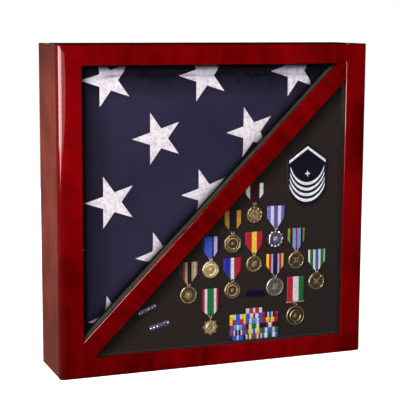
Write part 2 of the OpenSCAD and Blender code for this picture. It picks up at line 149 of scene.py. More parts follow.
class Finish:
    """A material under construction."""

    def __init__(self, name):
        self.material = bpy.data.materials.new(name)
        self.material.use_nodes = True
        self.tree = self.material.node_tree
        self.tree.nodes.clear()

    def node(self, kind, settings=None, values=None, output=0):
        """Adds a node, sets it up, then sets or links its sockets."""
        made = self.tree.nodes.new(kind)
        for key, setting in (settings or {}).items():
            if key == "stops":
                self.set_stops(made.color_ramp, setting)
            else:
                setattr(made, key, setting)
        for key, value in (values or {}).items():
            socket = made.inputs[key]
            if isinstance(value, Wire):
                self.tree.links.new(value.socket, socket)
            elif socket.type == "RGBA" and len(value) == 3:
                socket.default_value = (*value, 1)
            else:
                socket.default_value = value
        return Wire(self, made.outputs[output]) if made.outputs else None

    @staticmethod
    def set_stops(ramp, stops):
        """Fills a colour ramp from (place, colour) pairs."""
        first, *middle, last = stops
        for element, (place, colour) in ((ramp.elements[0], first), (ramp.elements[-1], last)):
            element.position = place
            element.color = (*colour, 1)
        for place, colour in middle:
            ramp.elements.new(place).color = (*colour, 1)

    def place(self, turn=(0, 0, 0), stretch=(1, 1, 1), source="Object"):
        """Coordinates turned, then stretched along the turned axes."""
        spot = self.node("ShaderNodeTexCoord", output=source)
        turned = self.node("ShaderNodeMapping", values={"Vector": spot, "Rotation": turn})
        return self.node("ShaderNodeVectorMath", {"operation": "MULTIPLY"}, {0: turned, 1: stretch})

    def noise(self, where, detail=4, roughness=0.55, scale=1):
        """Soft clouds, or streaks where the coordinates are stretched."""
        return self.node(
            "ShaderNodeTexNoise",
            values={"Vector": where, "Scale": scale, "Detail": detail, "Roughness": roughness},
        )

    def waves(self, where, direction, period, distortion=0):
        """Ribs of the given period in metres along one axis."""
        return self.node(
            "ShaderNodeTexWave",
            {"wave_type": "BANDS", "bands_direction": direction},
            {"Vector": where, "Scale": pi / 10 / period, "Distortion": distortion, "Detail Scale": 1.5},
            output=1,
        )

    def attribute(self, name, output=0):
        """A value or colour kept in the mesh."""
        return self.node("ShaderNodeAttribute", {"attribute_name": name}, output=output)

    def ramp(self, amount, stops):
        """Looks a colour up along a ramp."""
        return self.node("ShaderNodeValToRGB", {"stops": stops}, {"Fac": amount})

    def mix(self, amount, first, second):
        """Blends two colours."""
        values = {0: amount, 6: first, 7: second}
        return self.node("ShaderNodeMix", {"data_type": "RGBA"}, values, output=2)

    def bump(self, height, distance, strength=1.0):
        """A normal tilted by a height map."""
        return self.node(
            "ShaderNodeBump", values={"Height": height, "Distance": distance, "Strength": strength}
        )

    def surface(self, base, roughness, normal=None, **others):
        """Ends the material in a Principled shader; a key such as coat_weight names a socket."""
        values = {"Base Color": base, "Roughness": roughness}
        if normal:
            values["Normal"] = normal
        for key, value in others.items():
            values[key.replace("_", " ").title().replace("Ior", "IOR")] = value
        self.output(self.node("ShaderNodeBsdfPrincipled", values=values))
        return self.material

    def output(self, shader):
        """Ends the material in a shader."""
        self.node("ShaderNodeOutputMaterial", values={"Surface": shader})
        return self.material


# ------------------------------------------------------------------- settings


def colour(name, description, default):
    """A colour setting."""
    return FloatVectorProperty(
        name=name, description=description, subtype="COLOR", size=3, min=0, max=1, default=default
    )


def length(name, description, default):
    """A length setting."""
    return FloatProperty(
        name=name, description=description, unit="LENGTH", min=0, precision=4, default=default
    )


def power(name, default):
    """A light's power setting."""
    return FloatProperty(name=name, description="Power in watts", min=0, default=default)


def angle(name, description, degrees):
    """An angle setting, given in degrees."""
    return FloatProperty(name=name, description=description, subtype="ANGLE", default=radians(degrees))


class WoodSettings(bpy.types.PropertyGroup):
    """Colours and edges of the woodwork."""

    deep: colour("Deep tone", "Darkest tone of the frame's lacquered grain", (0.062, 0.0002, 0.0004))
    bright: colour("Bright tone", "Lightest tone of the frame's lacquered grain", (0.195, 0.0005, 0.0014))
    # Board tones are lighter and browner than the frame's: painted reflection on the same lacquer
    side_deep_with_reflection: colour("Side, deep tone", "Darkest tone of the case boards", (0.115, 0.019, 0.012))
    side_bright_with_reflection: colour("Side, bright tone", "Lightest tone of the case boards", (0.26, 0.046, 0.028))
    arris: length("Arris", "Rounding of the frame's edges round the glass", 1.3 * MM)
    easing: length("Easing", "Rounding of the other sharp edges", 0.5 * MM)
    rim: length("Rim", "Rounding of the frame's outer edges", 1.6 * MM)
    pillow: length("Pillow", "How far the frame's face falls away at its outer edge", 3.2 * MM)
    pillow_width: length("Pillow width", "Width over which the frame's face falls away", 26 * MM)


class FlagSettings(bpy.types.PropertyGroup):
    """Cloth, folds and stars of the flag."""

    cloth: colour("Cloth", "Navy cotton of the flag", (0.0215, 0.0180, 0.0415))
    thread: colour("Star thread", "Embroidery thread of the stars", (0.86, 0.79, 0.825))
    star_radius: length("Star radius", "From the middle of a star to a tip", 45.6 * MM)
    star_rise: length("Star rise", "How far the embroidery stands off the cloth", 0.8 * MM)
    roll_left: length("Left roll", "Width of the rolled fold along the left stile", 26 * MM)
    roll_top: length("Top roll", "Width of the rolled fold under the top rail", 15 * MM)
    roll_bar: length("Bar roll", "Width of the rolled fold along the diagonal bar", 24 * MM)
    cell: length("Cell", "Size of the mesh cells of the flag's face", 2.8 * MM)


class MedalSettings(bpy.types.PropertyGroup):
    """Metals and cloth of the medals."""

    bronze: colour("Bronze", "Worn bronze of the pendants", (0.66, 0.53, 0.28))
    gilt: colour("Gilt", "Bright gilt of the pendants", (0.90, 0.78, 0.46))
    silver: colour("Silver", "Bright silver of the pendants", (0.78, 0.82, 0.95))
    ribbon_fold: length("Ribbon fold", "Distance between the two layers of a folded ribbon", 1.4 * MM)
    ribbon_cloth: length("Ribbon cloth", "Thickness of one layer of ribbon", 0.35 * MM)


class HardwareSettings(bpy.types.PropertyGroup):
    """Metals of the fittings."""

    brass: colour("Brass", "Polished brass of hinges and screws", (0.74, 0.52, 0.21))
    steel: colour("Steel", "Zinc-plated steel of the hangers", (0.62, 0.63, 0.65))


class StageSettings(bpy.types.PropertyGroup):
    """Camera, lights and floor."""

    camera_place: FloatVectorProperty(
        name="Camera place", description="Where the camera stands", subtype="XYZ", unit="LENGTH",
        size=3, default=(-0.7741, -1.9782, 0.5986),
    )
    camera_yaw: angle("Camera yaw", "Turn of the view to the right of straight ahead", 21.12)
    camera_pitch: angle("Camera pitch", "Tilt of the view above level", -8.47)
    camera_roll: angle("Camera roll", "Turn of the view about its own axis", 0.29)
    camera_lens: FloatProperty(
        name="Lens", description="Focal length in millimetres on a 36 mm sensor", min=1, default=109.9
    )
    key_power: power("Key light", 96)
    fill_power: power("Fill light", 30)
    side_power: power("Side lights", 30)
    rear_power: power("Rear light", 45)
    gleam_power: power("Gleam", 5.6)
    floor: colour("Floor", "Pale floor under the case", (0.86, 0.86, 0.86))


# -------------------------------------------------------------- mesh utilities


def add_piece(name, bm, finish, node=None, body="case", smooth=38):
    """Makes an object of a bmesh, with its finish, its body and the node it stands for."""
    mesh = bpy.data.meshes.new(name)
    bm.normal_update()
    bm.to_mesh(mesh)
    bm.free()
    for face in mesh.polygons:
        face.use_smooth = True
    mesh.set_sharp_from_angle(angle=radians(smooth))
    for material in finish if isinstance(finish, (list, tuple)) else [finish]:
        mesh.materials.append(material)
    piece = bpy.data.objects.new(name, mesh)
    bpy.context.scene.collection.objects.link(piece)
    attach(piece, body)
    if node:
        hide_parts(node)
    return piece


def paint(node, material):
    """Gives a frame node its finish."""
    node_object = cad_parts[node]
    if not node_object.material_slots:
        node_object.data.materials.append(material)
    for place in node_object.material_slots:
        place.material = material


def weighted(piece):
    """Keeps flat faces flat where they meet small roundings."""
    piece.modifiers.new("Weighted normals", "WEIGHTED_NORMAL").keep_sharp = True


def cut(bm, point, normal, trim=False):
    """Cuts along a plane; trim removes what lies on the normal's side."""
    everything = [*bm.verts, *bm.edges, *bm.faces]
    bmesh.ops.bisect_plane(
        bm, geom=everything, dist=1e-6, plane_co=point, plane_no=normal, clear_outer=trim
    )


def round_edges(bm, edges, width, segments):
    """Rounds edges with a few segments."""
    bmesh.ops.bevel(
        bm, geom=edges, offset=width, offset_type="OFFSET", segments=segments, profile=0.5,
        affect="EDGES", clamp_overlap=True, material=-1,
    )


def tidy(bm, reach=0.02 * MM):
    """Closes seams and turns the faces outwards."""
    bmesh.ops.remove_doubles(bm, verts=bm.verts, dist=reach)
    bmesh.ops.recalc_face_normals(bm, faces=bm.faces)


def upright_grid(bm, low_x, high_x, low_z, high_z, y, columns, rows):
    """Grid that faces the front, with a UV map from 0 to 1 each way."""
    middle = Vector(((low_x + high_x) / 2, y, (low_z + high_z) / 2))
    size = Matrix.Diagonal(((high_x - low_x) / 2, (high_z - low_z) / 2, 1, 1))
    bm.loops.layers.uv.verify()
    bmesh.ops.create_grid(
        bm, x_segments=columns, y_segments=rows, size=1, matrix=upright(middle) @ size, calc_uvs=True
    )


def spun(bm, profile, centre, axis=Vector((0, 1, 0)), steps=40):
    """Turns a profile of (radius, distance along the axis) pairs into a closed solid."""
    out = axis.orthogonal().normalized()
    points = [bm.verts.new(centre + out * radius + axis * reach) for radius, reach in profile]
    edges = [bm.edges.new(pair) for pair in zip(points, points[1:])]
    bmesh.ops.spin(
        bm, geom=points + edges, cent=centre, axis=axis, angle=2 * pi, steps=steps, use_merge=True
    )


def upright(point):
    """Placement at a point, turned to face the front."""
    return Matrix.Translation(point) @ Matrix.Rotation(pi / 2, 4, "X")


def extruded(bm, faces):
    """Extrudes faces and gives the new points."""
    made = bmesh.ops.extrude_face_region(bm, geom=faces)["geom"]
    return [part for part in made if isinstance(part, bmesh.types.BMVert)]


def merged_copy(node):
    """Copy of a frame node's mesh with its points joined up."""
    bm = bmesh.new()
    bm.from_mesh(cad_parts[node].data)
    bmesh.ops.remove_doubles(bm, verts=bm.verts, dist=0.01 * MM)
    return bm


def eased_copy(node):
    """Merged copy of a frame node's mesh, with flat faces joined up too."""
    bm = merged_copy(node)
    bmesh.ops.dissolve_limit(
        bm, angle_limit=radians(0.6), verts=bm.verts, edges=bm.edges, use_dissolve_boundaries=False
    )
    bm.normal_update()
    return bm


def sharp_edges(bm, shortest, test=lambda edge: True):
    """Sharp edges at least so long that pass a test."""
    return [
        edge
        for edge in bm.edges
        if len(edge.link_faces) == 2
        and edge.calc_face_angle(0) > radians(40)
        and edge.calc_length() > shortest
        and test(edge)
    ]


def eased_piece(node, finish, width, segments=2, shortest=6 * MM, body="case"):
    """Stands for a frame node with its long sharp edges rounded."""
    bm = eased_copy(node)
    round_edges(bm, sharp_edges(bm, shortest), width, segments)
    weighted(add_piece(node + "_finished", bm, finish, node, body))


# ------------------------------------------------------------------- finishes


TURNS = {"upright": pi / 2, "level": 0, "diagonal": SLOPE}


@cache
def lacquer(name, direction, deep, bright, curl_share, shade_at):
    """Glossy lacquer over stained wood, with the grain along the piece and painted shade over it."""
    made = Finish(name + direction)
    turn = (0, TURNS[direction], 0)
    streaks = made.noise(made.place(turn, (5, 190, 190)), 5, 0.6)
    clouds = made.noise(made.place(turn, (9, 14, 14)), 4)
    curl = made.noise(made.place(turn, (62, 12, 12)), 4, 0.55)
    pores = made.noise(made.place(turn, (50, 1500, 1500)), 3, 0.7)
    figure = streaks * 0.14 + clouds * (0.86 - curl_share) + curl * curl_share
    middle = tuple((low + high) / 2 for low, high in zip(deep, bright))
    stained = made.ramp(figure, [(0.36, deep), (0.5, middle), (0.64, bright)])
    dots = pores.between(0.42, 0.34)
    grained = made.mix(dots * 0.35, stained, scaled(deep, 0.5))
    across, height = (
        made.node("ShaderNodeSeparateXYZ", values={0: made.place()}, output=axis) for axis in (0, 2)
    )
    # Painted shade: darkens the lacquer along the edges noted in the mesh and where the given shade function
    # picks out
    toner = made.attribute("toner", 2) + shade_at(across, height)
    return made.surface(
        made.mix(toner, grained, scaled(deep, 0.12)), streaks * 0.15 + 0.5,
        made.bump(figure * 0.8 - dots * 0.2, 0.03 * MM, 0.2),
        coat_weight=1.0, coat_roughness=0.04, coat_ior=1.45, specular_ior_level=0.0,
    )


def frame_painted_shade(across, height):
    """How much painted shade darkens the frame: most in the lower left corner."""
    return (across + height).between(-0.02, -0.28) * 0.5


def board_painted_shade(_, height):
    """How much painted shade darkens the boards: at the top and near the foot."""
    return height.between(0.46, 0.555) * 0.55 + height.between(0.2, 0.06) * 0.25


def frame_lacquer(direction):
    """Lacquer of the face frame; upright grain has less curl."""
    deep, bright = chosen("case_wood", "deep"), chosen("case_wood", "bright")
    curl_share = 0.12 if direction == "upright" else 0.38
    return lacquer("lacquer_", direction, deep, bright, curl_share, frame_painted_shade)


def side_lacquer(direction):
    """Lacquer of the case boards, with painted reflection in its lighter, browner tones."""
    deep, bright = chosen("case_wood", "side_deep_with_reflection"), chosen("case_wood", "side_bright_with_reflection")
    return lacquer("board_lacquer_", direction, deep, bright, 0.1, board_painted_shade)


@cache
def bare_wood(turn):
    """Plain stained wood of the hidden blocks and strips."""
    made = Finish("bare_wood")
    grain = made.noise(made.place((0, turn, 0), (10, 260, 260)), 6, 0.65)
    pores = made.noise(made.place((0, turn, 0), (90, 2200, 2200)), 2, 0.7)
    stained = made.ramp(grain, [(0.3, (0.10, 0.035, 0.014)), (0.7, (0.27, 0.12, 0.055))])
    return made.surface(stained, pores * 0.2 + 0.5, made.bump(grain * 0.6 + pores * 0.4, 0.1 * MM, 0.6))


def pressed_board(name, dark, pale, gloss):
    """Fibreboard: fine pressed fibres with darker specks."""
    made = Finish(name)
    fibres = made.noise(made.place(stretch=(500, 500, 900)), 5, 0.7)
    specks = made.noise(made.place(), 3, 0.5, 1300)
    clouds = made.noise(made.place(), 3, 0.5, 14)
    mottled = made.ramp(fibres * 0.8 + clouds * 0.2, [(0.32, dark), (0.68, pale)])
    flecked = made.mix(specks.between(0.62, 0.7) * 0.7, mottled, scaled(dark, 0.5))
    return made.surface(flecked, fibres * 0.25 + gloss, made.bump(fibres, 0.12 * MM, 0.5))


@cache
def clear_glass():
    """Flat glass: see-through, with reflections that grow towards a grazing view."""
    made = Finish("clear_glass")
    facing = made.node("ShaderNodeLayerWeight", values={"Blend": 0.5}, output=1)
    smudge = made.noise(made.place(), 3, 0.5, 6)
    see_through = made.node("ShaderNodeBsdfTransparent", values={"Color": (0.985, 0.985, 0.985)})
    shine = made.node("ShaderNodeBsdfAnisotropic", values={"Roughness": smudge * 0.03 + 0.01})
    amount = facing ** 5 * 0.85 + 0.035
    return made.output(made.node("ShaderNodeMixShader", values={0: amount, 1: see_through, 2: shine}))


def velvet(name, deep, worn_tone):
    """Velvet pile over the spacer strips, rubbed in places."""
    made = Finish(name)
    pile = made.noise(made.place(), 4, 0.7, 1400)
    brushed = made.noise(made.place(), 3, 0.5, 45)
    return made.surface(
        made.mix(brushed, deep, worn_tone), pile * 0.1 + 0.85, made.bump(pile, 0.3 * MM, 0.7),
        specular_ior_level=0.1, sheen_weight=0.08, sheen_roughness=0.4, sheen_tint=(0.9, 0.82, 0.7),
    )


def felt_cloth():
    """Charcoal felt: matted fibres without a weave."""
    made = Finish("felt")
    fibres = made.noise(made.place(stretch=(900, 900, 1500)), 5, 0.75)
    crossing = made.noise(made.place((0, 0.9, 0), (1500, 900, 700)), 4, 0.7)
    drift = made.noise(made.place(), 3, 0.5, 11)
    mat = fibres * 0.5 + crossing * 0.5
    matted = made.mix(mat.between(0.35, 0.68), (0.0105, 0.0068, 0.0060), (0.029, 0.0190, 0.0165))
    return made.surface(
        made.mix(drift * 0.3, matted, (0.013, 0.010, 0.009)), 0.95, made.bump(mat, 0.35 * MM, 0.8),
        specular_ior_level=0.08, sheen_weight=0.12, sheen_roughness=0.5,
    )


def flag_cotton():
    """Plain-weave navy cotton with faint slubs and painted shade, dark where the mesh's shade value is low.
    """
    made = Finish("flag_cotton")
    cloth = chosen("case_flag", "cloth")
    warp = made.waves(made.place(), "X", 0.7 * MM)
    weft = made.waves(made.place(), "Z", 0.7 * MM)
    slubs = made.noise(made.place(stretch=(40, 40, 900)), 4, 0.6)
    drift = made.noise(made.place(), 3, 0.5, 7)
    uneven = (slubs * 0.5 + drift * 0.5).between(0.35, 0.65)
    dyed = made.mix(uneven, scaled(cloth, 0.72), scaled(cloth, 1.35))
    return made.surface(
        # Painted shade: the cloth goes nearly black where the mesh's shade value is low
        made.mix(made.attribute("shade", 2), scaled(cloth, 0.12), dyed), slubs * 0.15 + 0.75,
        made.bump(warp * weft + slubs * 0.5, 0.08 * MM, 0.6), specular_ior_level=0.04,
        sheen_weight=0.03, sheen_roughness=0.45, sheen_tint=(0.75, 0.72, 0.95),
    )


def satin_stitch(name, thread, period, shade_tint=None):
    """Embroidery thread laid side by side across the U direction, with painted shade in a given tint where
    the mesh's shade value is low.
    """
    made = Finish(name)
    strands = made.waves(made.place(source="UV"), "X", period, 0.6)
    worn = made.noise(made.place(), 4, 0.6, 150)
    dust = made.noise(made.place(), 3, 0.6, 420)
    soiled = tuple(part * tint for part, tint in zip(thread, (0.55, 0.51, 0.60)))
    laid = made.mix((worn * 0.6 + dust * 0.4).between(0.56, 0.32), thread, soiled)
    if shade_tint:
        laid = made.mix(made.attribute("shade", 2), shade_tint, laid)
    return made.surface(
        laid, strands * 0.15 + 0.5, made.bump(strands + dust * 0.4, 0.15 * MM, 0.8),
        specular_ior_level=0.3, sheen_weight=0.15, sheen_roughness=0.4,
    )


@cache
def ribbon_cloth():
    """Ribbed moire ribbon; its stripes are the piece's own colours."""
    made = Finish("ribbon_cloth")
    ribs = made.waves(made.place(source="UV"), "Y", 0.022)
    watered = made.noise(made.place(stretch=(160, 160, 420)), 4, 0.6)
    faded = made.mix(watered.between(0.66, 0.4) * 0.3, made.attribute("stripe"), (0.02, 0.02, 0.025))
    return made.surface(
        faded, watered * 0.3 + 0.38, made.bump(ribs + watered * 0.4, 0.08 * MM, 0.6),
        specular_ior_level=0.12, sheen_weight=0.03, sheen_roughness=0.35,
    )


@cache
def struck_metal(name, bright, patina, gloss):
    """Struck metal: bright where the relief stands high, dark with patina where it lies low."""
    made = Finish(name)
    blots = made.noise(made.place(), 4, 0.6, 420)
    scratches = made.noise(made.place((0, 0.6, 0), (300, 300, 4000)), 3, 0.6)
    worn = (made.attribute("relief", 2) + blots * 0.7 - 0.35).between(0.12, 0.62)
    return made.surface(
        made.mix(worn, patina, bright), 0.44 - worn * gloss + scratches * 0.08,
        made.bump(blots + scratches * 0.1, 0.9 * MM), metallic=worn * 0.4 + 0.45,
    )


@cache
def plain_metal(name, bright, dark, roughness):
    """Brushed or plated metal of the fittings, slightly tarnished."""
    made = Finish(name)
    brushing = made.noise(made.place(stretch=(3500, 200, 200)), 3, 0.6)
    tarnish = made.noise(made.place(), 4, 0.6, 150)
    return made.surface(
        made.mix(tarnish.between(0.5, 0.75) * 0.7, bright, dark), brushing * 0.16 + roughness,
        made.bump(brushing, 0.02 * MM, 0.4), metallic=1.0,
    )


def brass():
    """Polished brass of hinges and screws."""
    return plain_metal("brass", chosen("case_hardware", "brass"), (0.42, 0.27, 0.10), 0.16)


def steel():
    """Zinc-plated steel of hangers and catches."""
    return plain_metal("zinc_plate", chosen("case_hardware", "steel"), (0.40, 0.41, 0.44), 0.24)


def leather():
    """Brown leather of the pull tab."""
    made = Finish("leather")
    cells = made.node("ShaderNodeTexVoronoi", values={"Vector": made.place(), "Scale": 1500})
    drift = made.noise(made.place(), 4, 0.6, 200)
    toned = made.ramp(cells * 0.5 + drift * 0.6, [(0.2, (0.035, 0.013, 0.006)), (0.7, (0.13, 0.052, 0.024))])
    return made.surface(toned, drift * 0.25 + 0.4, made.bump(cells, 0.15 * MM, 0.7))


def rubber():
    """Matt black rubber of the wall buttons."""
    made = Finish("rubber")
    grain = made.noise(made.place(), 4, 0.7, 1800)
    bloom = made.noise(made.place(), 3, 0.5, 240).between(0.45, 0.75)
    toned = made.mix(bloom, (0.012, 0.012, 0.012), (0.035, 0.034, 0.033))
    return made.surface(toned, grain * 0.2 + 0.6, made.bump(grain, 0.1 * MM, 0.6))


def packing_foam():
    """White closed-cell foam behind the flag."""
    made = Finish("packing_foam")
    cells = made.node("ShaderNodeTexVoronoi", values={"Vector": made.place(), "Scale": 420})
    drift = made.noise(made.place(), 3, 0.5, 25)
    toned = made.mix(cells * 0.6 + drift * 0.4, (0.70, 0.70, 0.66), (0.86, 0.86, 0.83))
    return made.surface(toned, 0.85, made.bump(cells, 0.5 * MM, 0.6))


def enamel(name, deep, pale):
    """Glossy hard enamel with faint clouding."""
    made = Finish(name)
    clouds = made.noise(made.place(), 3, 0.5, 350)
    return made.surface(
        made.mix(clouds, deep, pale), clouds * 0.1 + 0.12, made.bump(clouds, 0.05 * MM, 0.3),
        coat_weight=0.8, coat_roughness=0.05,
    )


def twill(name):
    """Dark twill ground of the sewn patch."""
    made = Finish(name)
    ribs = made.waves(made.place((0, pi / 4, 0)), "X", 0.9 * MM, 0.3)
    drift = made.noise(made.place(), 4, 0.6, 90)
    toned = made.mix(ribs * 0.4 + drift * 0.5, *TWILL_TONES)
    return made.surface(
        toned, drift * 0.2 + 0.72, made.bump(ribs, 0.15 * MM, 0.7),
        specular_ior_level=0.04, sheen_weight=0.03,
    )


# ------------------------------------------------------------------- woodwork

# Cuts over which the frame's face falls away, and how deep the face's own points reach
PILLOW_CUTS = 9
FACE_DEPTH = 4 * MM
# Width of the painted shade along the frame's right, upper and lower edges
EDGE_SHADE_WIDTH = 2.2 * MM
# Shortest edges that are rounded on the frame, round the glass and on the boards
FRAME_EDGE = 20 * MM
GLASS_EDGE = 60 * MM
BOARD_EDGE = 60 * MM


def fall_back(bm, width, drop):
    """Lets the frame's face fall away in a growing curve near the case's outer edges."""
    for step in range(1, PILLOW_CUTS + 1):
        reach = width * step / PILLOW_CUTS
        cut(bm, (LEFT + reach, 0, 0), (1, 0, 0))
        cut(bm, (RIGHT - reach, 0, 0), (1, 0, 0))
        cut(bm, (0, 0, reach), (0, 0, 1))
        cut(bm, (0, 0, TOP - reach), (0, 0, 1))
    for vertex in bm.verts:
        x, y, z = vertex.co
        if y < FRONT + FACE_DEPTH:
            sides = max(1 - min(x - LEFT, RIGHT - x) / width, 0)
            ends = max(1 - min(z, TOP - z) / width, 0)
            vertex.co.y += drop * (sides ** 5 + 0.15 * ends ** 5)


def paint_edge_shade(bm, width):
    """Notes how much painted shade darkens each point: full along the case's right, upper and lower edges.
    """
    toner = bm.verts.layers.float.new("toner")
    for vertex in bm.verts:
        x, z = vertex.co.x, vertex.co.z
        edge = min(RIGHT - x, z, TOP - z)
        vertex[toner] = max(1 - edge / width, 0)


def frame_member(node, direction):
    """Stands for one member of the face frame, with soft arrises and a pillowed face."""
    wood = bpy.context.scene.case_wood
    bm = eased_copy(node)
    for level in (OPEN_LOW, OPEN_TOP):
        cut(bm, (0, 0, level), (0, 0, 1))
    bm.normal_update()

    def outer(edge):
        """Whether a front edge lies along the case's outside."""
        first, second = (vertex.co for vertex in edge.verts)
        middle = (first + second) / 2
        inset = min(middle.x - LEFT, RIGHT - middle.x, middle.z, TOP - middle.z)
        return max(first.y, second.y) < FRONT + NEAR and inset < NEAR

    def faces_glass(edge):
        """Whether a long front edge lies inside the opening."""
        first, second = (vertex.co for vertex in edge.verts)
        middle = (first + second) / 2
        wide = OPEN_LEFT - NEAR < middle.x < OPEN_RIGHT + NEAR
        high = OPEN_LOW - NEAR < middle.z < OPEN_TOP + NEAR
        reach = abs(first.z - second.z) + abs(first.x - second.x)
        return max(first.y, second.y) < FRONT + NEAR and wide and high and reach > GLASS_EDGE

    round_edges(bm, sharp_edges(bm, FRAME_EDGE, faces_glass), wood.arris, 4)
    round_edges(bm, sharp_edges(bm, FRAME_EDGE, outer), wood.rim, 4)
    if node != "diagonal_bar":
        fall_back(bm, wood.pillow_width, wood.pillow)
        # Painted shade along the outer edges, except the lit left edge
        paint_edge_shade(bm, EDGE_SHADE_WIDTH)
    weighted(add_piece(node + "_lacquered", bm, frame_lacquer(direction), node))


class FLAGCASE_OT_face_frame(bpy.types.Operator):
    """Finish the stiles, rails and diagonal bar of the face frame"""

    bl_idname = "flagcase.face_frame"
    bl_label = "Face frame"

    def execute(self, context):
        for node, direction in (
            ("stile_left", "upright"), ("stile_right", "upright"),
            ("rail_top", "level"), ("rail_bottom", "level"), ("diagonal_bar", "diagonal"),
        ):
            frame_member(node, direction)
        return {"FINISHED"}


class FLAGCASE_OT_case_boards(bpy.types.Operator):
    """Finish the four case boards and the divider behind the diagonal bar"""

    bl_idname = "flagcase.case_boards"
    bl_label = "Case boards"

    def execute(self, context):
        easing = context.scene.case_wood.easing
        for node, direction in (
            ("side_left", "upright"), ("side_right", "upright"),
            ("top_board", "level"), ("bottom_board", "level"),
        ):
            eased_piece(node, side_lacquer(direction), easing, shortest=BOARD_EDGE)
        eased_piece("divider_board", bare_wood(SLOPE), easing, shortest=BOARD_EDGE)
        return {"FINISHED"}


class FLAGCASE_OT_glazing(bpy.types.Operator):
    """Finish the two panes and the velvet strips behind them"""

    bl_idname = "flagcase.glazing"
    bl_label = "Glass and velvet"

    def execute(self, context):
        for node in ("flag_glass", "medal_glass"):
            paint(node, clear_glass())
        taupe = velvet("taupe_velvet", (0.026, 0.024, 0.019), (0.055, 0.050, 0.040))
        black = velvet("black_velvet", (0.004, 0.003, 0.003), (0.010, 0.008, 0.007))
        eased_piece("flag_liner", taupe, 0.6 * MM)
        eased_piece("medal_liner", black, 0.6 * MM)
        return {"FINISHED"}


# ----------------------------------------------------------------------- flag

# Where the flag's body begins behind its face, and the folded layers that it is made of
FLAG_SHOULDER = min(point.y for point in node_points("folded_flag") if point.x < OPEN_LEFT)
FOLD_START = 1.5 * MM
FLAG_LAYERS = 9
LAYER_TUCK = 2.2 * MM
# A star's points, the share of its radius at its waist, and the cuts across each edge
STAR_POINTS = 5
STAR_WAIST = 0.382
STAR_CUTS = 14
# The star field: one star's place, then the steps along a row and to the next row
FIRST_STAR = Vector((LEFT + 87.2 * MM, 0, 497 * MM))
ROW_STEP = Vector((169.6 * MM, 0, 6 * MM))
NEXT_ROW = Vector((87.3 * MM, 0, -98.2 * MM))
ROWS = 5
STAR_TRIM = 2.5 * MM
STITCH = 0.9 * MM
# Widths over which shade is painted on the cloth next to the frame and next to the bar
SHADE_WIDTH = 58 * MM
BAR_SHADE_WIDTH = 14 * MM
# The crease that runs along the top fold: its height, how far it wanders, and its width
TOP_CREASE = 503 * MM
CREASE_WANDER = 4 * MM
CREASE_WIDTH = 2.4 * MM
# Depths of the cloth's hollows and creases, and how far from a fold the fine creases reach
HOLLOW_DEPTH = 0.9 * MM
CREASE_DEPTH = 1.6 * MM
CREASE_REACH = 34 * MM


def rolled(distance, width):
    """Share of the full fall at a distance from a rolled edge, along a quarter circle."""
    share = min(max(distance / width, 0), 1)
    return 1 - sqrt(1 - (1 - share) ** 2)


def crease_line(x, z):
    """Strength of the wandering crease along the top fold."""
    line = (z - TOP_CREASE - CREASE_WANDER * noise.noise(Vector((x * 22, 1, 4)))) / CREASE_WIDTH
    return exp(-line * line) * (0.6 + noise.noise(Vector((x * 30, 6, 2))))


def flag_face(flag, x, z):
    """Depth of the flag's front face: rolled edges, soft hollows and creases near the folds."""
    from_left = x - OPEN_LEFT - FOLD_START
    from_top = OPEN_TOP - z - FOLD_START
    from_bar = off_diagonal(Vector((x, 0, z))) - BAR_HALF - FOLD_START
    rolls = (from_left, flag.roll_left), (from_top, flag.roll_top), (from_bar, flag.roll_bar)
    fall = min(sum(rolled(distance, width) for distance, width in rolls), 1)
    near = max(1 - max(min(from_top, from_bar, from_left), 0) / CREASE_REACH, 0)
    hollows = noise.noise(Vector((x * 8, 2, z * 8))) + 0.4 * noise.noise(Vector((x * 19, 5, z * 23)))
    creases = near ** 2 * noise.noise(Vector((x * 75, 8, z * 55)))
    rough = (hollows + 0.6) * HOLLOW_DEPTH + (creases + crease_line(x, z)) * CREASE_DEPTH
    return FLAG_FRONT + fall * (FLAG_SHOULDER - FLAG_FRONT) + rough * (1 - fall)


def shade_edges(bm, width):
    """Notes how open each point lies, as painted shade: low in the hollows along the opening's edges, lower
    still along the top crease and in wrinkles near the top.
    """
    shade = bm.verts.layers.float.new("shade")
    for vertex in bm.verts:
        x, z = vertex.co.x, vertex.co.z
        open_left = min(max((x - OPEN_LEFT) / width, 0), 1)
        open_top = min(max((OPEN_TOP - z) / width, 0), 1)
        open_bar = min(max((off_diagonal(vertex.co) - BAR_HALF) / BAR_SHADE_WIDTH, 0), 1)
        level = open_left * open_top * (0.25 + 0.75 * open_bar)
        wrinkle_shade = abs(noise.noise(Vector((x * 95, 3, z * 70)))) * (1 - open_top)
        vertex[shade] = max(level - 0.45 * crease_line(x, z) - 0.8 * wrinkle_shade, 0)


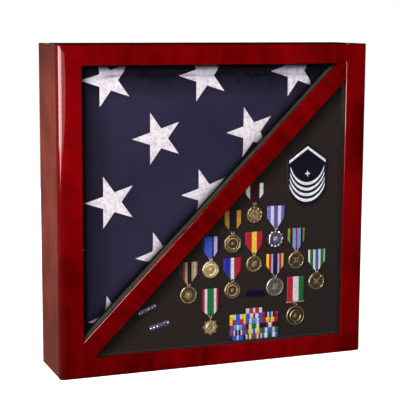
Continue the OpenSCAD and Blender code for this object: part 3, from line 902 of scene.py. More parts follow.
def flag_bundle(flag):
    """The folded flag: a crowned face, and a body of folded layers behind it."""
    low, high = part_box("folded_flag")
    bm = bmesh.new()
    columns = round((high.x - low.x) / flag.cell)
    rows = round((high.z - low.z) / flag.cell)
    upright_grid(bm, low.x, high.x, low.z, high.z, FLAG_SHOULDER, columns, rows)
    cut(bm, CORNER + ACROSS * FLAG_EDGE, -ACROSS, trim=True)
    for vertex in bm.verts:
        vertex.co.y = flag_face(flag, vertex.co.x, vertex.co.z)
    middle = Vector((low.x * 2 + high.x, 0, low.z + high.z * 2)) / 3
    rim = [edge for edge in bm.edges if edge.is_boundary]
    depth = (FLAG_BACK - FLAG_SHOULDER) / (2 * FLAG_LAYERS)
    for step in range(2 * FLAG_LAYERS):
        made = bmesh.ops.extrude_edge_only(bm, edges=rim)["geom"]
        ring = [part for part in made if isinstance(part, bmesh.types.BMVert)]
        rim = [part for part in made if isinstance(part, bmesh.types.BMEdge) and part.is_boundary]
        tuck = LAYER_TUCK if step % 2 == 0 else -LAYER_TUCK
        for vertex in ring:
            inwards = Vector((middle.x - vertex.co.x, 0, middle.z - vertex.co.z)).normalized()
            vertex.co += inwards * tuck
            vertex.co.y = FLAG_SHOULDER + depth * (step + 1)
    bmesh.ops.holes_fill(bm, edges=rim, sides=0)
    tidy(bm)
    shade_edges(bm, SHADE_WIDTH)
    bundle = add_piece("flag_bundle", bm, flag_cotton(), "folded_flag", smooth=60)


def flag_star(flag, centre):
    """One embroidered star: ridged arms that follow the cloth."""
    bm = bmesh.new()
    ridge = bm.verts.layers.float.new("ridge")
    stitches = bm.loops.layers.uv.verify()
    place = upright(centre) @ Matrix.Rotation(pi / 2, 4, "Z")
    bmesh.ops.create_circle(
        bm, cap_ends=True, cap_tris=True, segments=2 * STAR_POINTS, radius=flag.star_radius, matrix=place
    )
    for vertex in bm.verts:
        arm = vertex.co - centre
        if arm.length < 0.5 * flag.star_radius:
            vertex[ridge] = 1.0
            continue
        turn = atan2(arm.z, arm.x) - pi
        at_tip = cos(STAR_POINTS * turn) > 0
        vertex[ridge] = 0.3 if at_tip else 0.0
        if not at_tip:
            vertex.co = centre + arm * STAR_WAIST
    bmesh.ops.subdivide_edges(bm, edges=bm.edges, cuts=STAR_CUTS, use_grid_fill=True)
    cut(bm, (OPEN_LEFT + STAR_TRIM, 0, 0), (-1, 0, 0), trim=True)
    cut(bm, (0, 0, OPEN_TOP - STAR_TRIM), (0, 0, 1), trim=True)
    cut(bm, CORNER + ACROSS * (BAR_HALF + STAR_TRIM), -ACROSS, trim=True)
    if not bm.faces:
        bm.free()
        return None
    step = 2 * pi / STAR_POINTS
    for face in bm.faces:
        for loop in face.loops:
            arm = loop.vert.co - centre
            turn = (atan2(arm.z, arm.x) - pi + step / 2) % step - step / 2
            across = abs(arm.length * sin(turn))
            loop[stitches].uv = (arm.length * cos(turn) + 0.6 * across, across)
    for vertex in bm.verts:
        lift = flag.star_rise * (0.45 + 0.55 * vertex[ridge])
        vertex.co.y = flag_face(flag, vertex.co.x, vertex.co.z) - lift
    for vertex in extruded(bm, bm.faces):
        vertex.co.y += 2 * flag.star_rise
    tidy(bm)
    return bm


def join_in(bm, part):
    """Adds one bmesh to another."""
    mesh = bpy.data.meshes.new("part")
    part.to_mesh(mesh)
    part.free()
    bm.from_mesh(mesh)
    bpy.data.meshes.remove(mesh)


class FLAGCASE_OT_flag(bpy.types.Operator):
    """Build the folded flag with its embroidered stars and the foam behind it"""

    bl_idname = "flagcase.flag"
    bl_label = "Folded flag"

    def execute(self, context):
        flag = context.scene.case_flag
        flag_bundle(flag)
        stars = bmesh.new()
        stars.loops.layers.uv.verify()
        for row in range(ROWS):
            for place in range(-row, ROWS):
                centre = FIRST_STAR + ROW_STEP * place + NEXT_ROW * row
                if off_diagonal(centre) < BAR_HALF - flag.star_radius or centre.x < LEFT:
                    continue
                star = flag_star(flag, centre)
                if star:
                    join_in(stars, star)
        shade_edges(stars, SHADE_WIDTH / 2)
        # The last colour is the painted shade tint of the star thread
        thread = satin_stitch("star_thread", chosen("case_flag", "thread"), STITCH, (0.25, 0.21, 0.31))
        add_piece("flag_stars", stars, thread)
        bm = eased_copy("flag_backing")
        round_edges(bm, sharp_edges(bm, 4 * MM), 3 * MM, 3)
        add_piece("foam_backing", bm, packing_foam(), "flag_backing")
        return {"FINISHED"}


# ---------------------------------------------------------------- medal board


class FLAGCASE_OT_medal_board(bpy.types.Operator):
    """Finish the medal board, its felt and the strips that hold it"""

    bl_idname = "flagcase.medal_board"
    bl_label = "Medal board"

    def execute(self, context):
        easing = context.scene.case_wood.easing
        bm = eased_copy("medal_felt")
        round_edges(bm, sharp_edges(bm, 20 * MM), 0.3 * MM, 2)
        felt = add_piece("felt_sheet", bm, felt_cloth(), "medal_felt")
        board = pressed_board("fibreboard", (0.16, 0.085, 0.04), (0.33, 0.20, 0.11), 0.6)
        eased_piece("medal_board", board, easing)
        eased_piece("board_retainers", bare_wood(0), easing)
        return {"FINISHED"}


# -------------------------------------------------------------------- ribbons

WHITE = tone(226, 226, 234)
CREAM = tone(236, 228, 190)
RED = tone(186, 26, 42)
MAROON = tone(62, 10, 18)
BROWN = tone(120, 48, 38)
PINK = tone(205, 110, 140)
YELLOW = tone(250, 214, 58)
GOLD = tone(208, 142, 36)
TAN = tone(190, 152, 92)
OLIVE = tone(150, 140, 46)
GREEN = tone(30, 112, 56)
DARK_GREEN = tone(24, 78, 48)
SKY = tone(112, 164, 222)
BLUE = tone(58, 92, 205)
DEEP_BLUE = tone(38, 42, 165)
NAVY = tone(20, 18, 62)
LAVENDER = tone(122, 116, 206)
VIOLET = tone(98, 84, 186)
LILAC = tone(186, 180, 224)
BLACK = tone(14, 12, 16)


def even(*stripes):
    """Stripes that look the same from both edges: the middle one is the last given."""
    return [*stripes, *stripes[-2::-1]]


# Each ribbon from left to right: (colour, relative width)
RIBBONS = {
    # ribbon_1's white is lighter than WHITE: painted light against the shadow that the bar casts on it
    "ribbon_1": even((tone(252, 252, 255), 6), (MAROON, 3), (tone(40, 5, 14), 9)),
    "ribbon_2": even((BLACK, 1), (GOLD, 6), (tone(16, 14, 30), 11)),
    "ribbon_3": even((LAVENDER, 6), (WHITE, 5), (VIOLET, 7)),
    "ribbon_4": [(NAVY, 4), (BLUE, 13), (MAROON, 3), (LILAC, 6), (NAVY, 4)],
    "ribbon_5": even((RED, 11), (PINK, 1), (YELLOW, 8)),
    "ribbon_6": even((OLIVE, 4), (BLACK, 4), (SKY, 6), (RED, 3)),
    "ribbon_7": [
        (DARK_GREEN, 2), (NAVY, 3), (BROWN, 4), (TAN, 4), (BLACK, 7), (TAN, 4), (LILAC, 3), (TAN, 3),
    ],
    "ribbon_8": [(DEEP_BLUE, 11), (VIOLET, 2), (WHITE, 6), (MAROON, 1), (RED, 12)],
    "ribbon_9": even((YELLOW, 4), (RED, 4), (LILAC, 3), (NAVY, 8)),
    "ribbon_10": even((WHITE, 3), (GREEN, 6), (CREAM, 4), (BLUE, 6)),
    "ribbon_11": even((MAROON, 2), (RED, 4), (WHITE, 5), (GREEN, 13)),
    "ribbon_12": [(RED, 11), (WHITE, 11), (GREEN, 11)],
}
# How high up a ribbon its sides start to fold in, as a share of its height
FOLD_HEIGHT = {"ribbon_11": 0.2, "ribbon_12": 0.0}
USUAL_FOLD = 0.42
RIBBON_TIP = 4 * MM
RIBBON_BOW = 0.5 * MM
# How far a ribbon's fold reaches down over its link, and swells over it
LINK_REACH = 1.2 * MM
LINK_SWELL = 0.5 * MM


def lay_stripes(bm, low_x, high_x, stripes):
    """Cuts the mesh at each stripe's edge and colours its faces."""
    layer = bm.loops.layers.float_color.get("stripe") or bm.loops.layers.float_color.new("stripe")
    reaches = list(accumulate(width for _, width in stripes))
    ends = [low_x + (high_x - low_x) * reach / reaches[-1] for reach in reaches]
    for end in ends[:-1]:
        cut(bm, (end, 0, 0), (1, 0, 0))
    for face in bm.faces:
        place = face.calc_center_median().x
        inside = next((i for i, end in enumerate(ends) if place <= end), len(ends) - 1)
        for loop in face.loops:
            loop[layer] = (*stripes[inside][0], 1)


def hanging_ribbon(medals, node, stripes):
    """A striped ribbon folded in two over its ring, with its lower corners turned in."""
    low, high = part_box(node)
    fold = low.z + (high.z - low.z) * FOLD_HEIGHT.get(node, USUAL_FOLD)
    low.z -= LINK_REACH if fold > low.z else 0
    middle = (low.x + high.x) / 2
    height = high.z - low.z
    bm = bmesh.new()
    upright_grid(bm, low.x, high.x, low.z, high.z, low.y, 12, 16)
    lay_stripes(bm, low.x, high.x, stripes)
    if fold > low.z:
        for side in (-1, 1):
            shoulder = Vector((middle + side * (high.x - middle), 0, fold))
            run = Vector((middle + side * RIBBON_TIP, 0, low.z)) - shoulder
            cut(bm, shoulder, side * Vector((-run.z, 0, run.x)), trim=True)
    for vertex in bm.verts:
        share = 2 * (vertex.co.x - middle) / (high.x - low.x)
        down = (high.z - vertex.co.z) / height
        wave = sin(down * 5 + share * 4) * 0.12
        vertex.co.y += RIBBON_BOW * (share ** 2 * (0.4 + 0.6 * down) + wave + 0.15)
        vertex.co.y -= LINK_SWELL * down ** 6
    for vertex in extruded(bm, bm.faces):
        vertex.co.y += medals.ribbon_fold
    bmesh.ops.recalc_face_normals(bm, faces=bm.faces)
    bm.normal_update()
    open_ends = [face for face in bm.faces if abs(face.normal.y) < 0.4 and face.normal.z > -0.3]
    bmesh.ops.delete(bm, geom=open_ends, context="FACES")
    piece = add_piece(node + "_folded", bm, ribbon_cloth(), node)
    cloth = piece.modifiers.new("Cloth", "SOLIDIFY")
    cloth.thickness = medals.ribbon_cloth
    cloth.offset = -1


class FLAGCASE_OT_ribbons(bpy.types.Operator):
    """Build the twelve medal ribbons"""

    bl_idname = "flagcase.ribbons"
    bl_label = "Medal ribbons"

    def execute(self, context):
        for node, stripes in RIBBONS.items():
            hanging_ribbon(context.scene.case_medals, node, stripes)
        bar = plain_metal("gilt_bar", chosen("case_medals", "gilt"), (0.50, 0.38, 0.16), 0.4)
        eased_piece("clasp_bar", bar, 0.6 * MM, 3, 2 * MM)
        return {"FINISHED"}


# ------------------------------------------------------------------- pendants

# How far a pendant's rim stands off its middle plane, and how far its field does
RELIEF = 1.2 * MM
FIELD = 0.35 * RELIEF
STAR_SINK = 0.4 * MM
# The eye a pendant hangs from: half its wire's thickness, its radius and its height
EYE_WIRE = 0.44 * MM
EYE_REACH = 1.12 * MM
EYE_HEIGHT = 0.96 * MM
# How far below its ribbon a pendant's lowest point may lie, and how far to the side
HANG_REACH = 46 * MM
HANG_WIDTH = 20 * MM


def ridged_star(bm, centre, outer, inner, points, rise, turn=0.0):
    """A star whose arms rise to a ridge, sunk a little into what it sits on."""
    place = upright(centre) @ Matrix.Rotation(turn, 4, "Z")
    made = bmesh.ops.create_circle(
        bm, cap_ends=True, cap_tris=True, segments=2 * points, radius=outer, matrix=place
    )
    faces = {face for vertex in made["verts"] for face in vertex.link_faces}
    rim = [vertex for vertex in made["verts"] if (vertex.co - centre).length > outer / 2]
    for vertex in rim[1::2]:
        vertex.co = centre + (vertex.co - centre) * inner / outer
    for vertex in made["verts"]:
        if vertex not in rim:
            vertex.co.y -= rise
    for vertex in extruded(bm, list(faces)):
        vertex.co.y = centre.y + STAR_SINK


def bead(bm, centre, radius, flat=0.6):
    """A low round bead."""
    place = Matrix.Translation(centre) @ Matrix.Diagonal((1, flat, 1, 1)) @ Matrix.Rotation(pi / 2, 4, "X")
    bmesh.ops.create_uvsphere(bm, u_segments=8, v_segments=6, radius=radius, matrix=place)


def ring_of_beads(bm, centre, reach, count, radius, turn=0.0):
    """Beads spaced evenly round a circle."""
    for step in range(count):
        angle = turn + 2 * pi * step / count
        bead(bm, centre + Vector((cos(angle), 0, sin(angle))) * reach, radius)


def ring_of_leaves(bm, centre, reach, count, size):
    """A wreath of slanting leaves."""
    for step in range(count):
        angle = 2 * pi * (step + 0.5) / count
        at = centre + Vector((cos(angle), 0, sin(angle))) * reach
        lean = Matrix.Rotation(-(angle + pi / 2 + 0.5), 4, "Y")
        place = Matrix.Translation(at) @ lean @ Matrix.Diagonal((1, 0.3, 0.4, 1))
        bmesh.ops.create_uvsphere(bm, u_segments=8, v_segments=6, radius=size, matrix=place)


def suspension_eye(bm, centre, reach):
    """The eye above a pendant that the link passes through."""
    middle = centre + Vector((0, 0, reach + EYE_HEIGHT))
    place = upright(middle + Vector((0, 0, EYE_REACH)))
    circle = bmesh.ops.create_circle(bm, segments=10, radius=EYE_WIRE, matrix=place)["verts"]
    edges = list({edge for vertex in circle for edge in vertex.link_edges})
    bmesh.ops.spin(
        bm, geom=circle + edges, cent=middle, axis=(1, 0, 0), angle=2 * pi, steps=14, use_merge=True
    )


def coin(bm, centre, radius, rim=1.4 * MM):
    """A struck disc with a raised rim and a sunk field."""
    spun(bm, [
        (0, -FIELD), (radius - 1.5 * rim, -FIELD), (radius - 1.1 * rim, -RELIEF),
        (radius - 0.4 * rim, -RELIEF), (radius, -0.6 * RELIEF),
        (radius, 0.6 * RELIEF), (radius - 0.4 * rim, RELIEF), (radius - rim, 0.7 * RELIEF),
        (0, 0.6 * RELIEF),
    ], centre, steps=56)


def star_device(bm, field, radius):
    """A six-pointed star in a circle of beads."""
    ridged_star(bm, field, radius * 0.66, radius * 0.36, 6, 0.85 * MM, pi / 2)
    ring_of_beads(bm, field, radius * 0.74, 20, radius * 0.055)


def sun_device(bm, field, radius):
    """A sun of twelve rays with a star on it."""
    ridged_star(bm, field, radius * 0.8, radius * 0.5, 12, 0.5 * MM)
    ridged_star(bm, field, radius * 0.5, radius * 0.2, 6, 0.85 * MM)


def wreath_device(bm, field, radius):
    """A rosette in a wreath of leaves."""
    ring_of_leaves(bm, field, radius * 0.64, 14, radius * 0.2)
    ridged_star(bm, field, radius * 0.44, radius * 0.24, 8, 0.85 * MM)


def cross_device(bm, field, radius):
    """A cross over a smaller turned one, with four beads."""
    ridged_star(bm, field, radius * 0.78, radius * 0.26, 4, 0.85 * MM)
    ridged_star(bm, field, radius * 0.55, radius * 0.22, 4, 0.75 * MM, pi / 4)
    ring_of_beads(bm, field, radius * 0.76, 4, radius * 0.09, pi / 4)


def ring_device(bm, field, radius):
    """A rosette in a raised ring, with a bead below."""
    profile = [(radius * 0.52, 0.1 * MM), (radius * 0.57, -0.75 * MM), (radius * 0.63, 0.1 * MM)]
    spun(bm, [*profile, profile[0]], field, steps=40)
    ridged_star(bm, field, radius * 0.46, radius * 0.22, 8, 0.75 * MM)
    bead(bm, field + Vector((0, 0, -radius * 0.74)), radius * 0.1, 1.0)


def raised(height):
    """A step towards the front."""
    return Vector((0, -height, 0))


def round_place(node, above):
    """Middle and radius of the pendant that hangs below a place in a node that holds several."""
    points = [
        point for point in node_points(node)
        if abs(point.x - above.x) < HANG_WIDTH and above.z - HANG_REACH < point.z < above.z
    ]
    radius = (max(point.x for point in points) - min(point.x for point in points)) / 2
    low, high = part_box(node)
    centre = Vector((above.x, (low.y + high.y) / 2, min(point.z for point in points) + radius))
    return centre, radius


def metal(kind):
    """Material slot and finish of a pendant's metal."""
    bronze, gilt, silver = (chosen("case_medals", name) for name in ("bronze", "gilt", "silver"))
    kinds = {
        "bronze": ("bronze", struck_metal("worn_bronze", bronze, (0.055, 0.040, 0.018), 0.22)),
        "dark_bronze": (
            "bronze", struck_metal("dark_bronze", (0.48, 0.37, 0.18), (0.035, 0.025, 0.012), 0.2),
        ),
        "gilt": ("bronze", struck_metal("gilt", gilt, (0.34, 0.27, 0.13), 0.28)),
        "silver": ("silver", struck_metal("oxidised_silver", silver, (0.060, 0.070, 0.125), 0.3)),
        "pewter": ("silver", struck_metal("pewter", (0.60, 0.58, 0.52), (0.085, 0.080, 0.072), 0.2)),
    }
    return kinds[kind]


def plate_place(node):
    """Middle and radius of a pendant that has a node of its own."""
    low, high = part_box(node)
    radius = (high.x - low.x) / 2
    return Vector(((low.x + high.x) / 2, (low.y + high.y) / 2, low.z + radius)), radius


def rayed_plate(bm, centre, radius):
    """A disc ringed with ridged rays and bright studs."""
    front = centre + raised(FIELD)
    coin(bm, centre, radius * 0.86, 1.1 * MM)
    ridged_star(bm, front, radius, radius * 0.66, 14, 0.75 * MM)
    ridged_star(bm, front + raised(0.3 * MM), radius * 0.5, radius * 0.2, 5, 0.75 * MM, pi / 2)
    ring_of_beads(bm, front + raised(0.2 * MM), radius * 0.72, 10, radius * 0.1, 0.3)


def octagon_plate(bm, centre, radius):
    """An eight-sided plate with a bright raised edge."""
    spun(bm, [
        (0, -FIELD), (radius * 0.86, -FIELD), (radius * 0.92, -RELIEF), (radius * 1.0, -RELIEF),
        (radius * 1.07, -0.5 * RELIEF), (radius * 1.07, 0.5 * RELIEF), (0, 0.5 * RELIEF),
    ], centre, steps=8)
    bmesh.ops.rotate(bm, verts=bm.verts, cent=centre, matrix=Matrix.Rotation(pi / 8, 3, "Y"))
    field = centre + raised(FIELD)
    ring_of_leaves(bm, field, radius * 0.62, 12, radius * 0.2)
    ridged_star(bm, field, radius * 0.42, radius * 0.18, 5, 0.85 * MM, pi / 2)


def lobed_plate(bm, centre, radius):
    """A disc ringed with bright lobes, with spokes on its field."""
    coin(bm, centre, radius * 0.8, 1.2 * MM)
    ring_of_beads(bm, centre + raised(0.3 * MM), radius * 0.87, 12, radius * 0.125)
    field = centre + raised(FIELD)
    ridged_star(bm, field, radius * 0.66, radius * 0.26, 8, 0.6 * MM)
    ridged_star(bm, field, radius * 0.42, radius * 0.2, 8, 0.85 * MM, pi / 8)


def star_plate(bm, centre, radius):
    """Eight ridged points round a dark boss, over a smaller turned star."""
    front = centre + raised(0.2 * RELIEF)
    ridged_star(bm, front, radius, radius * 0.55, 8, 0.8 * MM)
    ridged_star(bm, front + raised(0.1 * MM), radius * 0.86, radius * 0.5, 8, 0.8 * MM, pi / 8)
    coin(bm, centre + raised(0.3 * MM), radius * 0.5, 1.1 * MM)
    boss = centre + raised(0.3 * MM + FIELD)
    ridged_star(bm, boss, radius * 0.24, radius * 0.1, 5, 0.6 * MM, pi / 2)


def pendant(number, node, kind, place, device, struck):
    """One pendant: a plain coin under its device, or a plate of a shape of its own."""
    centre, radius = place
    bm = bmesh.new()
    if struck:
        coin(bm, centre, radius)
        device(bm, centre + raised(FIELD), radius)
    else:
        device(bm, centre, radius)
    suspension_eye(bm, centre, radius)
    tidy(bm, 0.01 * MM)
    relief = bm.verts.layers.float.new("relief")
    for vertex in bm.verts:
        height = abs(vertex.co.y - centre.y) / RELIEF
        vertex[relief] = min(max((height - 0.4) / 0.5, 0), 1)
    slot, finish = metal(kind)
    add_piece(f"pendant_{number}", bm, finish, node, smooth=30)


# The coins that share a node: the ribbon's number, the metal and the device
COINS = (
    (4, "gilt", wreath_device), (5, "bronze", star_device), (6, "bronze", cross_device),
    (7, "bronze", sun_device), (8, "dark_bronze", wreath_device), (9, "pewter", star_device),
    (10, "bronze", cross_device), (12, "dark_bronze", ring_device),
)
# The plates with nodes of their own: the ribbon's number, the node, the metal and the shape
PLATES = (
    (1, "rayed_pendant", "bronze", rayed_plate), (2, "octagon_pendant", "dark_bronze", octagon_plate),
    (3, "lobed_pendant", "silver", lobed_plate), (11, "star_pendant", "gilt", star_plate),
)


class FLAGCASE_OT_pendants(bpy.types.Operator):
    """Build the pendants below the ribbons and finish their rings"""

    bl_idname = "flagcase.pendants"
    bl_label = "Medal pendants"

    def execute(self, context):
        for number, kind, device in COINS:
            low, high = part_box(f"ribbon_{number}")
            place = round_place("disc_pendants", Vector(((low.x + high.x) / 2, 0, low.z)))
            pendant(number, "disc_pendants", kind, place, device, True)
        for number, node, kind, shape in PLATES:
            pendant(number, node, kind, plate_place(node), shape, False)
        links = plain_metal("link_metal", chosen("case_medals", "gilt"), (0.30, 0.20, 0.08), 0.22)
        paint("suspension_rings", links)
        return {"FINISHED"}


# ----------------------------------------------------- ribbon rack and badges

# Ribbon bars of the rack, each column from the bottom up
RACK = [
    [
        even((NAVY, 2), (BLUE, 3), (WHITE, 1)),
        even((BLUE, 3), (RED, 3), (WHITE, 2), (NAVY, 3), (SKY, 3)),
        even((RED, 2), (BLUE, 3), (SKY, 4), (WHITE, 2)),
        even((YELLOW, 3), (RED, 4), (BLUE, 5)),
        even((YELLOW, 5), (WHITE, 2), (BLUE, 5)),
    ],
    [
        even((WHITE, 2), (RED, 4), (CREAM, 3), (RED, 3), (GREEN, 4)),
        even((GREEN, 4), (YELLOW, 5), (WHITE, 2), (BLUE, 4)),
        even((NAVY, 3), (CREAM, 3), (GREEN, 5)),
        even((BLUE, 3), (WHITE, 2), (SKY, 5)),
        [(BLUE, 5), (WHITE, 4), (RED, 3), (WHITE, 4), (BLUE, 5)],
        even((WHITE, 4), (RED, 5), (WHITE, 3)),
    ],
    [
        even((BLUE, 3), (WHITE, 4), (DARK_GREEN, 6)),
        even((GREEN, 4), (WHITE, 3), (BLUE, 7)),
        even((NAVY, 7), (RED, 2), (WHITE, 4)),
        even((RED, 6), (YELLOW, 5), (RED, 2)),
        even((RED, 4), (NAVY, 4), (WHITE, 2), (BLUE, 4)),
    ],
]


# The bar that carries a small device
DEVICE_BAR = 8


def clusters(node):
    """Low and high corners of each separate solid in a frame node."""
    bm = merged_copy(node)
    left = set(bm.verts)
    found = []
    while left:
        reached = [left.pop()]
        for vertex in reached:
            near = {edge.other_vert(vertex) for edge in vertex.link_edges} & left
            left -= near
            reached.extend(near)
        low = Vector([min(vertex.co[axis] for vertex in reached) for axis in range(3)])
        high = Vector([max(vertex.co[axis] for vertex in reached) for axis in range(3)])
        found.append((low, high))
    bm.free()
    return sorted(found, key=lambda ends: (round(ends[0].x, 4), ends[0].z))


def ribbon_bar(bm, low, high, stripes):
    """One bar of the rack: ribbon wrapped round a thin plate, with rounded long edges."""
    upright_grid(bm, low.x, high.x, low.z, high.z, low.y, 8, 8)
    lay_stripes(bm, low.x, high.x, stripes)
    middle = (low.z + high.z) / 2
    for vertex in extruded(bm, bm.faces):
        vertex.co.y = high.y
    for vertex in bm.verts:
        if vertex.co.y < high.y - 0.1 * MM:
            edge = abs(2 * (vertex.co.z - middle) / (high.z - low.z))
            vertex.co.y += 0.7 * MM * edge ** 6
    tidy(bm)


class FLAGCASE_OT_ribbon_rack(bpy.types.Operator):
    """Build the rack of ribbon bars and the plate that holds it"""

    bl_idname = "flagcase.ribbon_rack"
    bl_label = "Ribbon rack"

    def execute(self, context):
        rack = bmesh.new()
        rack.loops.layers.uv.verify()
        rack.loops.layers.float_color.new("stripe")
        bars = clusters("rack_ribbons")
        columns = [stripes for column in RACK for stripes in column]
        for (low, high), stripes in zip(bars, columns, strict=True):
            bar = bmesh.new()
            ribbon_bar(bar, low, high, stripes)
            join_in(rack, bar)
        piece = add_piece("rack_bars", rack, ribbon_cloth(), "rack_ribbons")
        low, high = bars[0]
        star = bmesh.new()
        low, high = bars[DEVICE_BAR]
        place = Vector(((low.x + high.x) / 2, low.y, (low.z + high.z) / 2))
        ridged_star(star, place, 2.6 * MM, 1.1 * MM, 5, 0.5 * MM, pi / 2)
        tidy(star)
        dark = plain_metal("dark_device", (0.10, 0.08, 0.05), (0.03, 0.02, 0.02), 0.3)
        add_piece("rack_device", star, dark)
        eased_piece("rack_holder", brass(), 0.2 * MM, 2, 4 * MM)
        return {"FINISHED"}


# Stitched border of the patch, and the spacing and width of its stripes
PATCH_BORDER = 2.6 * MM
PATCH_STEP = 10 * MM
STRIPE_WIDTH = 5.2 * MM
# Depth of the twill behind the patch's border, and the gap from the border to the stripes
PATCH_RECESS = 0.5 * MM
PATCH_GAP = 7 * MM
TWILL_TONES = (0.0025, 0.003, 0.009), (0.0075, 0.0085, 0.021)


def patch_stripe(bm, centre, half, shape):
    """A sewn stripe: a band bent to a shape, padded and with its ends cut upright."""
    strip = bmesh.new()
    face = centre.y
    edge = STRIPE_WIDTH / 2
    upright_grid(strip, centre.x - half, centre.x + half, -edge, edge, face, 48, 5)
    for vertex in strip.verts:
        across = vertex.co.z / edge
        share = (vertex.co.x - centre.x) / half
        vertex.co.z += centre.z + shape(share)
        vertex.co.y -= 0.45 * MM * (1 - across ** 4) * (1 - share ** 12)
    for vertex in extruded(strip, strip.faces):
        vertex.co.y = face + 0.3 * MM
    tidy(strip)
    join_in(bm, strip)


class FLAGCASE_OT_patch(bpy.types.Operator):
    """Build the sewn patch: dark twill, a stitched border and plain white stripes"""

    bl_idname = "flagcase.patch"
    bl_label = "Sewn patch"

    def execute(self, context):
        low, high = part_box("rank_patch")
        middle = Vector(((low.x + high.x) / 2, low.y, (low.z + high.z) / 2))
        half_w, half_h = (high.x - low.x) / 2, (high.z - low.z) / 2
        bm = eased_copy("rank_patch")
        front = [face for face in bm.faces if face.normal.y < -0.9]
        rim = bmesh.ops.inset_region(bm, faces=front, thickness=PATCH_BORDER, use_even_offset=True)
        bm.normal_update()
        for face in front:
            for vertex in face.verts:
                vertex.co.y = low.y + PATCH_RECESS
        border = set(rim["faces"])
        edges = [
            edge for edge in bm.edges
            if any(face in border for face in edge.link_faces) and edge.calc_face_angle(0) > radians(50)
        ]
        round_edges(bm, edges, 0.8 * MM, 3)
        for face in bm.faces:
            centre = face.calc_center_median()
            face.material_index = 0 if face.normal.y < -0.99 and centre.y > low.y + 0.4 * MM else 1
        thread = satin_stitch("border_thread", (0.003, 0.0033, 0.009), 0.8 * MM)
        base = add_piece("sewn_patch", bm, [twill("patch_twill"), thread], "rank_patch")
        stripes = bmesh.new()
        stripes.loops.layers.uv.verify()
        face = low.y + PATCH_RECESS
        peak = high.z - PATCH_BORDER - PATCH_GAP
        patch_stripe(
            stripes, Vector((middle.x, face, peak)), half_w - 4.5 * MM,
            lambda share: -abs(share) * half_w * 0.62,
        )
        foot = low.z + PATCH_BORDER + PATCH_GAP
        for step in range(4):
            centre = Vector((middle.x, face, foot + step * PATCH_STEP))
            reach = half_w - (5.2 + 0.6 * step) * MM
            patch_stripe(
                stripes, centre, reach,
                lambda share: half_w * 0.72 * (1 - sqrt(1 - 0.86 * share ** 2)) / 0.6258,
            )
        white = satin_stitch("white_thread", (0.90, 0.89, 0.92), 0.028)
        add_piece("patch_stripes", stripes, white)
        disc = bmesh.new()
        centre = Vector((middle.x, face, middle.z + 1 * MM))
        spun(disc, [
            (0, -0.5 * MM), (5.6 * MM, -0.5 * MM), (6.6 * MM, -0.9 * MM), (7.6 * MM, -0.5 * MM),
            (7.8 * MM, 0.3 * MM), (0, 0.3 * MM),
        ], centre, steps=40)
        tidy(disc)
        add_piece("patch_disc", disc, twill("disc_twill"))
        star = bmesh.new()
        ridged_star(star, centre - Vector((0, 0.6 * MM, 0)), 6.4 * MM, 2.1 * MM, 4, 0.5 * MM, pi / 2)
        tidy(star)
        pale = satin_stitch("star_patch_thread", (0.80, 0.79, 0.82), 0.7 * MM)
        add_piece("patch_star", star, pale)
        return {"FINISHED"}


# Studs along a clasp pin, and their radius
PIN_STUDS = 6
STUD_RADIUS = 1.9 * MM


def clasp_pin(node, turn):
    """A small silver bar with studs along it."""
    low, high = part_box(node)
    middle = (low + high) / 2
    bm = eased_copy(node)
    round_edges(bm, sharp_edges(bm, 0.3 * MM), 0.35 * MM, 2)
    along = Vector((cos(turn), 0, sin(turn)))
    half = ((high.x - low.x) / 2) / cos(turn) * 0.86
    front = Vector((middle.x, low.y, middle.z))
    for step in range(PIN_STUDS):
        share = 2 * step / (PIN_STUDS - 1) - 1
        bead(bm, front + along * half * share, STUD_RADIUS)
    relief = bm.verts.layers.float.new("relief")
    for vertex in bm.verts:
        vertex[relief] = 1 if vertex.co.y < low.y - 0.3 * MM else 0.0
    slot, finish = metal("silver")
    add_piece(node + "_finished", bm, finish, node)


class FLAGCASE_OT_badges(bpy.types.Operator):
    """Build the enamelled bar and the two clasp pins"""

    bl_idname = "flagcase.badges"
    bl_label = "Bar badge and pins"

    def execute(self, context):
        bm = eased_copy("bar_badge")
        front = [face for face in bm.faces if face.normal.y < -0.9]
        bmesh.ops.inset_region(bm, faces=front, thickness=0.9 * MM, use_even_offset=True)
        for face in front:
            face.material_index = 1
            for vertex in face.verts:
                vertex.co.y += 0.25 * MM
        bm.normal_update()
        round_edges(bm, sharp_edges(bm, 8 * MM), 0.15 * MM, 2)
        rim = plain_metal("badge_rim", (0.05, 0.05, 0.07), (0.02, 0.02, 0.03), 0.4)
        blue = enamel("navy_enamel", (0.003, 0.004, 0.020), (0.006, 0.008, 0.036))
        add_piece("enamel_bar", bm, [rim, blue], "bar_badge")
        clasp_pin("clasp_pin_upper", radians(22))
        clasp_pin("clasp_pin_lower", radians(14))
        return {"FINISHED"}


# ------------------------------------------------------------------ rear side


# Radius of a wood screw's head, and how long a side of its box is along the screw
WOOD_SCREW_HEAD = 2.8 * MM
SCREW_RUN = 10 * MM


